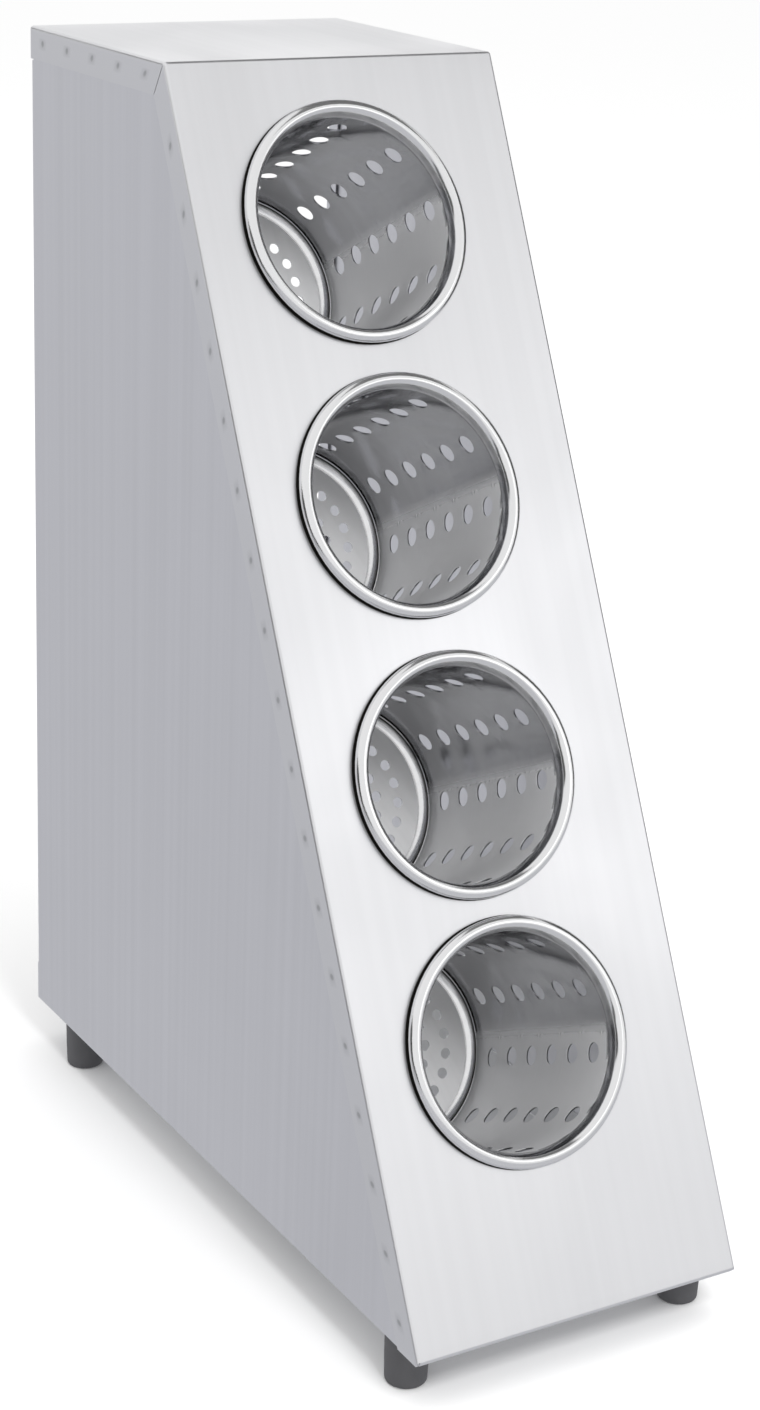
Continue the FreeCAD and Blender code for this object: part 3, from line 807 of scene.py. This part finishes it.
edge_turn = np.radians(np.linspace(0, EDGE_TURN, 14))
edge_radii = FLOOR_EDGE - FLOOR_ROUND * (np.sin(edge_turn[-1]) - np.sin(edge_turn))
edge_heights = FLOOR_TOP + FLOOR_ROUND * (1 - np.cos(edge_turn))
turned_edge = floor_rings(
    np.concatenate([[RINGS[0][0] + BAND], edge_radii]),
    np.concatenate([[FLOOR_TOP], edge_heights]),
)
# painted shade in the groove, over the last part of the edge's turn, where it meets the wall
into_groove = (np.degrees(edge_turn) - GROOVE_FROM) / (EDGE_TURN - GROOVE_FROM)
shade_in_groove = np.concatenate([[0.0], np.clip(into_groove, 0, 1)])[:, None]
middle = floor_rings([RINGS[-1][0] - BAND, 2.0, 0.0], [FLOOR_TOP] * 3)
for index in CYLINDERS:
    grids = [flat_sheet(turned_edge, index, dirt=shade_in_groove), flat_sheet(middle, index, flip=True)]
    grids += [flat_sheet(cell, index) for ring in RINGS for cell in floor_cells(*ring)]
    disc = piece(f"perforated_floor_{index + 1}", grids)
    finish_sheet(disc, SLEEVE_GAUGE, edge=0)
    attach(disc, f"cylinder_{index + 1}")
    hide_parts(f"cylinder_floor_{index + 1}")

# %% [markdown]
# ## Rubber feet, studs, washers and nuts
#
# Each foot is a rubber buffer with a steel plate bonded on it. The plate's stud stands through the tray and
# takes a flat washer, a spring washer and a nut. All are shapes about an upright axis. A turned profile is
# enough for most, but a thread needs a radius that changes with height and angle together, and a nut one
# that goes from hexagon to cone, so the radius is a formula on the whole grid.


# %% A shape about a foot's axis
def about(foot, radius, height, angle, flip=True):
    """A closed surface about a foot's axis. Where the rows run from the bottom outwards and up, the faces
    are turned over to look outwards."""
    return sheet(turned(radius, height, angle) + (foot.x, foot.y, 0.0), ring=True, flip=flip)


def round_angles(count):
    """Even angles of a full turn: number * full turn / count."""
    return 2 * np.pi * np.arange(count) / count


def profile_about(foot, profile, count=48):
    """A profile of (radius, height) turned round a foot's axis."""
    radius, height = np.array(profile).T
    return about(foot, radius[:, None], height[:, None], round_angles(count))


def heights_of(node):
    """A node's lowest and highest level, in millimetres."""
    low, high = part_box(node)
    return low.z / MM, high.z / MM


# %% The rubber buffers, with a rounded lower edge and a slight draft
FOOT_RADIUS = 10.5
DRAFT = 0.5
LOWER_EDGE = 1.7
UPPER_EDGE_IN, UPPER_EDGE_DOWN = 0.6, 0.7
edge_angle = np.radians(np.linspace(0, 90, 6))
lower_edge = np.stack([
    FOOT_RADIUS - DRAFT - LOWER_EDGE * (1 - np.sin(edge_angle)),
    LOWER_EDGE * (1 - np.cos(edge_angle)),
], axis=-1)
for place, foot in feet.items():
    foot_top = heights_of(f"{place}_foot")[1]
    profile = [
        (0.0, 0.0),
        *lower_edge,
        (FOOT_RADIUS - 0.3 * DRAFT, foot_top / 2),
        (FOOT_RADIUS, foot_top - UPPER_EDGE_DOWN),
        (FOOT_RADIUS - UPPER_EDGE_IN, foot_top),
        (0.0, foot_top),
    ]
    buffer = piece(f"{place}_rubber", [profile_about(foot, profile)])
    finish_sheet(buffer, 0, edge=0)
    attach(buffer, "cabinet")
    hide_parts(f"{place}_foot")

# %% Sizes of the fastenings
PLATE_RADIUS = 9.0
STUD_RADIUS = 3.0
PITCH = 1.0
PITCH_STEPS = 6
THREAD_DEPTH = 0.5
ACROSS_FLATS = 10.0
BORE = 3.05
WASHER_BORE = 3.3
WASHER_RADIUS = 6.0
SPRING_RADIUS = 5.3
SLIT = 1.2
CORNER = 0.2
COUNTERSINK = 0.5
CONE = 1.73
NUT_LEVELS = np.array([0.0, 0.15, 0.3, 0.5, 0.8])


# %% A stud on its plate, a flat washer, a spring washer and a nut
def plate_and_stud(foot):
    """The plate's rounded rim, then the thread: the radius falls from the crest by the thread's depth times
    a triangle wave of height / pitch - angle / full turn, and the tip is cut by a cone."""
    low, tip = heights_of("foot_studs")
    angle = round_angles(32)
    rim = np.array([
        (0, low), (PLATE_RADIUS - CORNER, low), (PLATE_RADIUS, low + CORNER),
        (PLATE_RADIUS, PAN_UNDER - CORNER), (PLATE_RADIUS - CORNER, PAN_UNDER), (STUD_RADIUS, PAN_UNDER),
    ])
    thread = np.arange(PAN_UNDER, tip, PITCH / PITCH_STEPS)[:, None]
    wave = abs(((thread / PITCH - angle / (2 * np.pi)) % 1) * 2 - 1)
    cone = STUD_RADIUS - THREAD_DEPTH - CORNER + tip - thread
    radius = np.minimum(STUD_RADIUS - THREAD_DEPTH * wave, cone)
    return about(
        foot,
        np.concatenate([rim[:, :1] + 0 * angle, radius, 0 * angle[None]]),
        np.concatenate([rim[:, 1:], thread, [[tip]]]),
        angle,
    )


def ring_section(inner, outer, low, high):
    """The eight corners of a ring's section, which is a rectangle with broken edges."""
    return [
        (inner, low + CORNER), (inner + CORNER, low), (outer - CORNER, low), (outer, low + CORNER),
        (outer, high - CORNER), (outer - CORNER, high), (inner + CORNER, high), (inner, high - CORNER),
    ]


def washer(foot):
    """A flat ring with rounded edges."""
    section = ring_section(WASHER_BORE, WASHER_RADIUS, *heights_of("foot_washers"))
    return profile_about(foot, [*section, section[0]])


def spring_washer(foot):
    """A squared wire bent round to a slit, whose two ends are closed in the wire's middle."""
    section = np.array(ring_section(WASHER_BORE, SPRING_RADIUS, *heights_of("foot_lock_washers")))
    start = math.asin(SLIT / (WASHER_BORE + SPRING_RADIUS))
    angle = np.linspace(start, 2 * np.pi - start, 41)
    closed = [0 * section + section.mean(axis=0)]
    wire = np.concatenate([closed, [section] * len(angle), closed])
    angle = np.concatenate([angle[:1], angle, angle[-1:]])[:, None]
    return about(foot, wire[..., 0], wire[..., 1], angle, flip=False)


def nut(foot):
    """A hexagon, half its width across flats / cos(angle from the flat's middle), with its corners cut at
    both ends by a cone, and a bore with countersunk ends."""
    low, high = heights_of("foot_nuts")
    angle = round_angles(60)
    hexagon = ACROSS_FLATS / 2 / np.cos(angle % (np.pi / 3) - np.pi / 6)
    levels = np.concatenate([NUT_LEVELS, high - low - NUT_LEVELS[::-1]])
    from_end = np.minimum(levels, high - low - levels)[:, None]
    outside = np.minimum(hexagon, ACROSS_FLATS / 2 - CORNER + CONE * from_end)
    inside = np.array([BORE + COUNTERSINK, BORE, BORE, BORE + COUNTERSINK])[:, None] + 0 * angle
    inside_levels = np.array([high, high - COUNTERSINK, low + COUNTERSINK, low])
    return about(
        foot,
        np.concatenate([outside, inside, outside[:1]]),
        np.concatenate([low + levels, inside_levels, [low]])[:, None],
        angle,
    )


# %% The fastenings of all four feet
for name, node, shape in (
    ("threaded_studs", "foot_studs", plate_and_stud),
    ("flat_washers", "foot_washers", washer),
    ("spring_washers", "foot_lock_washers", spring_washer),
    ("hexagon_nuts", "foot_nuts", nut),
):
    made = piece(name, [shape(foot) for foot in feet.values()])
    finish_sheet(made, 0, edge=0, sharp=35.0)
    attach(made, "cabinet")
    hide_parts(node)

# %% [markdown]
# ## Materials
#
# Stainless sheet is never a plain grey. Its rolling and brushing leave fine lines in one direction, hands
# leave softer patches, and both change how sharply it mirrors the room. Each effect is a node group with
# named sockets, so that every material can ask for its own amount.


# %% Node helpers
def add_node(tree, kind, settings=None, **inputs):
    """A node of a tree with its settings and named input values or links."""
    node = tree.nodes.new(kind)
    for name, value in (settings or {}).items():
        setattr(node, name, value)
    for name, value in inputs.items():
        socket = node.inputs[int(name[1:])] if name[0] == "i" and name[1:].isdigit() \
            else node.inputs[name.replace("_", " ")]
        if isinstance(value, bpy.types.NodeSocket):
            tree.links.new(value, socket)
        else:
            socket.default_value = value
    return node


def new_group(name, inputs, outputs):
    """A shader node group with the given sockets, and its input and output nodes."""
    tree = bpy.data.node_groups.new(name, "ShaderNodeTree")
    for label, kind, value in inputs:
        socket = tree.interface.new_socket(name=label, in_out="INPUT", socket_type=kind)
        socket.default_value = value
    for label, kind in outputs:
        tree.interface.new_socket(name=label, in_out="OUTPUT", socket_type=kind)
    return tree, tree.nodes.new("NodeGroupInput"), tree.nodes.new("NodeGroupOutput")


# %% Fine lines left by rolling and brushing
lines_group, given, result = new_group(
    "brushed_lines",
    [("Place", "NodeSocketVector", (0.0, 0.0, 0.0)), ("Stretch", "NodeSocketVector", (1.0, 1.0, 1.0))],
    [("Lines", "NodeSocketFloat"), ("Bands", "NodeSocketFloat")],
)
fine = add_node(lines_group, "ShaderNodeVectorMath", {"operation": "MULTIPLY"},
                i0=given.outputs["Place"], i1=given.outputs["Stretch"])
fine_noise = add_node(lines_group, "ShaderNodeTexNoise", Vector=fine.outputs[0], Scale=1.0, Detail=3.0,
                      Roughness=0.6)
wide = add_node(lines_group, "ShaderNodeVectorMath", {"operation": "SCALE"}, i0=fine.outputs[0],
                Scale=0.07)
wide_noise = add_node(lines_group, "ShaderNodeTexNoise", Vector=wide.outputs[0], Scale=1.0, Detail=2.0,
                      Roughness=0.5)
lines_group.links.new(fine_noise.outputs[0], result.inputs["Lines"])
lines_group.links.new(wide_noise.outputs[0], result.inputs["Bands"])

# %% Soft patches left by wiping and handling
patches_group, given, result = new_group(
    "wiped_patches",
    [("Place", "NodeSocketVector", (0.0, 0.0, 0.0)), ("Scale", "NodeSocketFloat", 9.0)],
    [("Patches", "NodeSocketFloat")],
)
patches = add_node(patches_group, "ShaderNodeTexNoise", Vector=given.outputs["Place"],
                   Scale=given.outputs["Scale"], Detail=2.0, Roughness=0.45, Distortion=0.6)
patches_group.links.new(patches.outputs[0], result.inputs["Patches"])


# %% Materials, and nodes that mix
# painted shade: the near-black colour and the roughness of the lines of shade in crevices and under the
# rims
SHADE_COLOUR = (0.035, 0.033, 0.03)
SHADE_ROUGHNESS = 0.6
HEAT_TONE = 0.45
NOISE_LOW, NOISE_HIGH = 0.35, 0.65
GRAIN_HEIGHT = 0.0003
# the grain lines leave at least this share of the painted light on the lower walls
LEAST_LIT = 0.94
RUBBER_ROUGHNESS = 0.62
RUBBER_RELIEF = 0.3
RUBBER_WORN, RUBBER_GRAIN = 60.0, 1800.0
WORN_TONE = 1.6


def new_material(name, metallic):
    """A new material, its tree and its shader."""
    material = bpy.data.materials.new(name)
    material.use_nodes = True
    shader = material.node_tree.nodes["Principled BSDF"]
    shader.inputs["Metallic"].default_value = metallic
    return material, material.node_tree, shader


def spread(tree, value, low, high):
    """A noise's middle range stretched from one value to another."""
    return add_node(tree, "ShaderNodeMapRange", Value=value, From_Min=NOISE_LOW, From_Max=NOISE_HIGH,
                    To_Min=low, To_Max=high).outputs[0]


def tint(tree, factor, first, second):
    """A mix of two colours, each a colour or a socket."""
    mixed = add_node(tree, "ShaderNodeMix", {"data_type": "RGBA"}, i0=factor)
    for number, colour in ((6, first), (7, second)):
        if isinstance(colour, bpy.types.NodeSocket):
            tree.links.new(colour, mixed.inputs[number])
        else:
            mixed.inputs[number].default_value = (*colour, 1.0)
    return mixed.outputs[2]


def blend(tree, factor, first, second):
    """A mix of two numbers, each a number or a socket."""
    mixed = add_node(tree, "ShaderNodeMix", {"data_type": "FLOAT"}, i0=factor, i2=first, i3=second)
    return mixed.outputs[0]


def raise_grain(tree, shader, strength, height):
    """Lets a noise stand up from the surface as a slight relief."""
    bump = add_node(tree, "ShaderNodeBump", Strength=strength, Distance=GRAIN_HEIGHT, Height=height)
    tree.links.new(bump.outputs[0], shader.inputs["Normal"])


def mask(tree, name):
    """One of the marks on the points."""
    return add_node(tree, "ShaderNodeAttribute", {"attribute_name": name}).outputs["Fac"]


# %% Steel and rubber
def steel(name, colour, roughness, stretch, pattern="Object", relief=0.05, patches=0.04, banding=0.05,
          painted_light=None, polish=1.0):
    """Brushed metal. Fine lines stand up as a slight relief, wide bands shift its colour, and wiped patches
    shift its roughness. Painted light, where light falls on a cylinder's lower wall, has a lighter colour,
    a roughness and a polish of its own, a weld's heat leaves the metal darker, and painted shade, where
    shade falls in crevices and under the rims, makes it nearly black and rougher. Polish is how far the
    metal is free of a dull film."""
    material, tree, shader = new_material(name, polish)
    place = add_node(tree, "ShaderNodeTexCoord").outputs[pattern]
    grain = add_node(tree, "ShaderNodeGroup", {"node_tree": lines_group}, Place=place, Stretch=stretch)
    wiped = add_node(tree, "ShaderNodeGroup", {"node_tree": patches_group}, Place=place)
    darker = tuple(value * (1 - banding) for value in colour)
    tone = tint(tree, spread(tree, grain.outputs["Bands"], 0.0, 1.0), colour, darker)
    rough = spread(tree, wiped.outputs["Patches"], roughness - patches, roughness + patches)
    # painted light: a lighter colour, with its own roughness and polish, where light falls on the lower
    # wall
    if painted_light:
        lit_share = add_node(tree, "ShaderNodeMath", {"operation": "MULTIPLY"}, i0=mask(tree, "painted_light"),
                          i1=spread(tree, grain.outputs["Lines"], LEAST_LIT, 1.0)).outputs[0]
        tone = tint(tree, lit_share, tone, painted_light[0])
        rough = blend(tree, lit_share, rough, painted_light[1])
        tree.links.new(blend(tree, lit_share, polish, painted_light[2]), shader.inputs["Metallic"])
    # painted shade: near black and rougher in the crevices and under the rims
    dirt = mask(tree, "dirt")
    tone = tint(tree, mask(tree, "welded"), tone, tuple(value * HEAT_TONE for value in colour))
    tree.links.new(tint(tree, dirt, tone, SHADE_COLOUR), shader.inputs["Base Color"])
    tree.links.new(blend(tree, dirt, rough, SHADE_ROUGHNESS), shader.inputs["Roughness"])
    raise_grain(tree, shader, relief, grain.outputs["Lines"])
    return material


def rubber(name, colour):
    """Moulded rubber: matt, with a fine grain and worn paler patches."""
    material, tree, shader = new_material(name, 0.0)
    place = add_node(tree, "ShaderNodeTexCoord").outputs["Object"]
    wiped, grain = (
        add_node(tree, "ShaderNodeGroup", {"node_tree": patches_group}, Place=place, Scale=scale).outputs[0]
        for scale in (RUBBER_WORN, RUBBER_GRAIN)
    )
    worn = tint(tree, wiped, colour, tuple(value * WORN_TONE for value in colour))
    tree.links.new(worn, shader.inputs["Base Color"])
    shader.inputs["Roughness"].default_value = RUBBER_ROUGHNESS
    raise_grain(tree, shader, RUBBER_RELIEF, grain)
    return material


DOWN_FRONT, UP_SIDE = (2600.0, 14.0, 14.0), (14.0, 2600.0, 14.0)
ROUND_WALL, ACROSS_DISC = (30.0, 2600.0, 30.0), (2600.0, 30.0, 30.0)
front_steel = steel("front_steel", (0.82, 0.822, 0.84), 0.34, DOWN_FRONT, banding=0.02)
side_steel = steel("side_steel", (0.80, 0.802, 0.83), 0.32, UP_SIDE, banding=0.035)
tray_steel = steel("tray_steel", (0.72, 0.725, 0.735), 0.34, UP_SIDE)
# painted highlight: the beads and disc edges are a brighter, smoother copy of the steel, so that they read
# white
highlight_bead_steel = steel("highlight_bead_steel", (0.88, 0.882, 0.89), 0.16, ROUND_WALL, "UV", 0.02, 0.02)
# painted shade: the walls' inner faces are a darker copy of the steel, with painted light on their lower
# half
shaded_wall_steel = steel("shaded_wall_steel", (0.41, 0.412, 0.425), 0.12, ROUND_WALL, "UV", 0.04,
                   painted_light=((0.77, 0.772, 0.78), 0.3, 0.4))
sleeve_steel = steel("sleeve_steel", (0.72, 0.722, 0.735), 0.26, ROUND_WALL, "UV", 0.04)
# painted light: the disc tops are a near-white, nearly matte copy of the steel, so that they read bright
lit_floor_steel = steel("lit_floor_steel", (0.93, 0.932, 0.94), 0.4, ACROSS_DISC, "UV", 0.04, polish=0.1)
zinc = steel("zinc_plate", (0.62, 0.63, 0.62), 0.32, (900.0, 900.0, 900.0))
foot_rubber = rubber("foot_rubber_black", (0.06, 0.06, 0.064))

# %% Every piece gets its material
finishes = {
    "wrapper_sheet": front_steel,
    "left_hemmed_sheet": side_steel,
    "right_hemmed_sheet": side_steel,
    "folded_tray": tray_steel,
    "threaded_studs": zinc,
    "flat_washers": zinc,
    "spring_washers": zinc,
    "hexagon_nuts": zinc,
    **{f"rolled_sleeve_{index + 1}": shaded_wall_steel for index in CYLINDERS},
    **{f"perforated_floor_{index + 1}": lit_floor_steel for index in CYLINDERS},
    **{f"{place}_rubber": foot_rubber for place in feet},
}
for name, material in finishes.items():
    slots = bpy.data.objects[name].data.materials
    slots.clear()
    slots.append(material)
print(len(finishes), "pieces have a material")

# %% Painted highlight on beads and disc edges, painted light on disc tops, painted shade inside the walls
EDGE_RISE = 0.05
FACES_UP = 0.1


def from_axis(mesh, index):
    """Each face's height above the slope, how far it looks out of the mouth, and whether it looks at the
    cylinder's own axis."""
    axis = np.array([0.0, -COS, SIN])
    normals = values(mesh.polygons, "normal", 3)
    place = values(mesh.polygons, "center", 3) / MM - (ROW_SHIFT, *on_slope(CYLINDER_DOWN[index]))
    height = place @ axis
    return height, normals @ axis, ((place - height[:, None] * axis) * normals).sum(axis=1) < 0


def sort_faces(mesh, materials, numbers):
    """Adds materials to a mesh and gives every face the one that its number says."""
    for material in materials:
        mesh.materials.append(material)
    mesh.polygons.foreach_set("material_index", numbers.astype(np.int32))


for index in CYLINDERS:
    mesh = bpy.data.objects[f"rolled_sleeve_{index + 1}"].data
    height, _, inside = from_axis(mesh, index)
    on_bead = height > 0
    # bead faces take the painted highlight, inner wall faces keep the painted shade, outer faces plain
    # steel
    sort_faces(mesh, (highlight_bead_steel, sleeve_steel), np.select([on_bead, inside], [1, 0], 2))
    mesh = bpy.data.objects[f"perforated_floor_{index + 1}"].data
    height, upwards, _ = from_axis(mesh, index)
    on_edge = height > FLOOR_TOP + EDGE_RISE
    # disc tops keep the painted light, the raised edge takes the painted highlight, faces turned away plain
    # steel
    sort_faces(mesh, (sleeve_steel, highlight_bead_steel), np.select([upwards < FACES_UP, on_edge], [1, 2], 0))
    print(f"cylinder {index + 1} has {int(on_bead.sum())} painted_highlight faces on its bead")

# %% [markdown]
# ## Studio
#
# Polished metal shows the room more than itself, so the room is plain: a white world all round and a pale
# floor. The floor looks white to the camera, but a mirroring side panel sees it a little greyer, as a
# studio table is. Dark cards draw the rounded edges. Soft boxes in front and behind shade the rims and the
# top, and two that mirrors don't see light the cylinders' insides and give the feet a shadow.


# %% Floor
def four_corners(name, corners, paint):
    """A flat face of the studio."""
    mesh = bpy.data.meshes.new(name)
    mesh.from_pydata(corners, [], [(0, 1, 2, 3)])
    mesh.materials.append(paint)
    return placed(name, mesh)


FLOOR_REACH = 30.0
FLOOR_MIRRORED = (0.575, 0.58, 0.605, 1.0)
floor_paint, tree, paint = new_material("floor_paint", 0.0)
paint.inputs["Roughness"].default_value = 0.9
paint.inputs["Specular IOR Level"].default_value = 0.0
paint.inputs["Base Color"].default_value = (0.97, 0.97, 0.97, 1.0)
light_path = add_node(tree, "ShaderNodeLightPath")
mirrored = add_node(tree, "ShaderNodeEmission", Color=FLOOR_MIRRORED, Strength=1.0)
either = add_node(tree, "ShaderNodeMixShader", i0=light_path.outputs["Is Glossy Ray"],
                  i1=paint.outputs[0], i2=mirrored.outputs[0])
tree.links.new(either.outputs[0], tree.nodes["Material Output"].inputs["Surface"])
around_floor = ((-1, -1), (1, -1), (1, 1), (-1, 1))
floor_corners = [(x * FLOOR_REACH, y * FLOOR_REACH, 0.0) for x, y in around_floor]
floor = four_corners("studio_floor", floor_corners, floor_paint)
floor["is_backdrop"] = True


# %% Dark cards, which only mirroring surfaces see
def dark_card(name, corners, shade):
    """A card with four corners, seen by reflections alone."""
    paint, _, shader = new_material(f"{name}_paint", 0.0)
    shader.inputs["Base Color"].default_value = (shade, shade, shade, 1.0)
    shader.inputs["Roughness"].default_value = 1.0
    card = four_corners(name, corners, paint)
    card.visible_camera = False
    card.visible_diffuse = False
    card.visible_shadow = False
    card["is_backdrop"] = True


for name, start, end, low, high in (
    ("right_card", (1.5, -0.6), (1.5, 0.5), 0.0, 1.3),
    ("left_card", (-1.5, -0.6), (-1.7, 0.4), 0.0, 1.0),
    ("low_card", (-1.35, -1.15), (-1.5, -0.6), 0.0, 0.32),
    ("rear_card", (-1.2, 1.3), (-0.4, 1.6), 0.72, 1.1),
):
    dark_card(name, [(*start, low), (*end, low), (*end, high), (*start, high)], 0.05)
dark_card("upper_card", [(0.3, -0.7, 1.9), (1.9, -0.7, 1.9), (1.9, 1.6, 1.9), (0.3, 1.6, 1.9)], 0.15)

# %% World, which mirrors see a little darker than it lights
MIRRORED_WORLD = 0.89
world = bpy.context.scene.world or bpy.data.worlds.new("studio")
bpy.context.scene.world = world
world.use_nodes = True
tree = world.node_tree
surround = tree.nodes["Background"]
surround.inputs["Color"].default_value = (1.0, 1.0, 1.0, 1.0)
light_path = add_node(tree, "ShaderNodeLightPath")
level = add_node(tree, "ShaderNodeMapRange", Value=light_path.outputs["Is Glossy Ray"], To_Min=1.0,
                 To_Max=MIRRORED_WORLD)
tree.links.new(level.outputs[0], surround.inputs["Strength"])


# %% Soft boxes
def soft_box(name, place, aim, size, power):
    """A rectangular soft light at a place, facing a point."""
    data = bpy.data.lights.new(name, "AREA")
    data.shape = "RECTANGLE"
    data.size, data.size_y = size
    data.energy = power
    box = placed(name, data)
    box.location = place
    box.rotation_euler = (Vector(aim) - Vector(place)).to_track_quat("-Z", "Y").to_euler()
    box.visible_camera = False
    box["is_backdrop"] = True
    return box


soft_box("front_box", (1.15, -1.75, 1.15), (0.0, -0.05, 0.3), (1.3, 0.7), 1.4)
soft_box("back_box", (1.3, 2.1, 0.95), (0.0, 0.1, 0.56), (1.2, 0.5), 0.45)
top_box = soft_box("top_box", (0.2, 0.1, 2.8), (0.0, 0.0, 0.0), (2.4, 2.4), 12.0)
inner_box = soft_box("inner_box", (-0.15, -1.6, 1.85), (0.0, 0.0, 0.3), (0.6, 0.6), 20.0)
for box in (top_box, inner_box):
    box.visible_glossy = False

# %% Camera
STAND = Vector((-655.63, -1089.13, 718.89))
YAW, PITCH, ROLL = 31.25, 19.94, 2.2
LENS = 69.83
yaw, pitch, roll = (math.radians(angle) for angle in (YAW, PITCH, ROLL))
look = Vector((math.sin(yaw) * math.cos(pitch), math.cos(yaw) * math.cos(pitch), -math.sin(pitch)))
level_right = Vector((math.cos(yaw), -math.sin(yaw), 0.0))
level_up = level_right.cross(look)
right = math.cos(roll) * level_right + math.sin(roll) * level_up
top_of_view = -math.sin(roll) * level_right + math.cos(roll) * level_up
camera_data = bpy.data.cameras.new("camera")
camera_data.lens = LENS
camera_data.sensor_width = 36.0
camera = placed("camera", camera_data)
facing = Matrix((right, top_of_view, -look)).transposed().to_4x4()
camera.matrix_world = Matrix.Translation(STAND * MM) @ facing
bpy.context.scene.camera = camera
bpy.context.scene.view_settings.view_transform = "Standard"
camera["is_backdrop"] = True

# %% The box of the looks, printed to set beside the box of the solids
looks_box = [list(corner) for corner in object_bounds()]
print("box of the looks, in metres:", [[round(value, 5) for value in corner] for corner in looks_box])
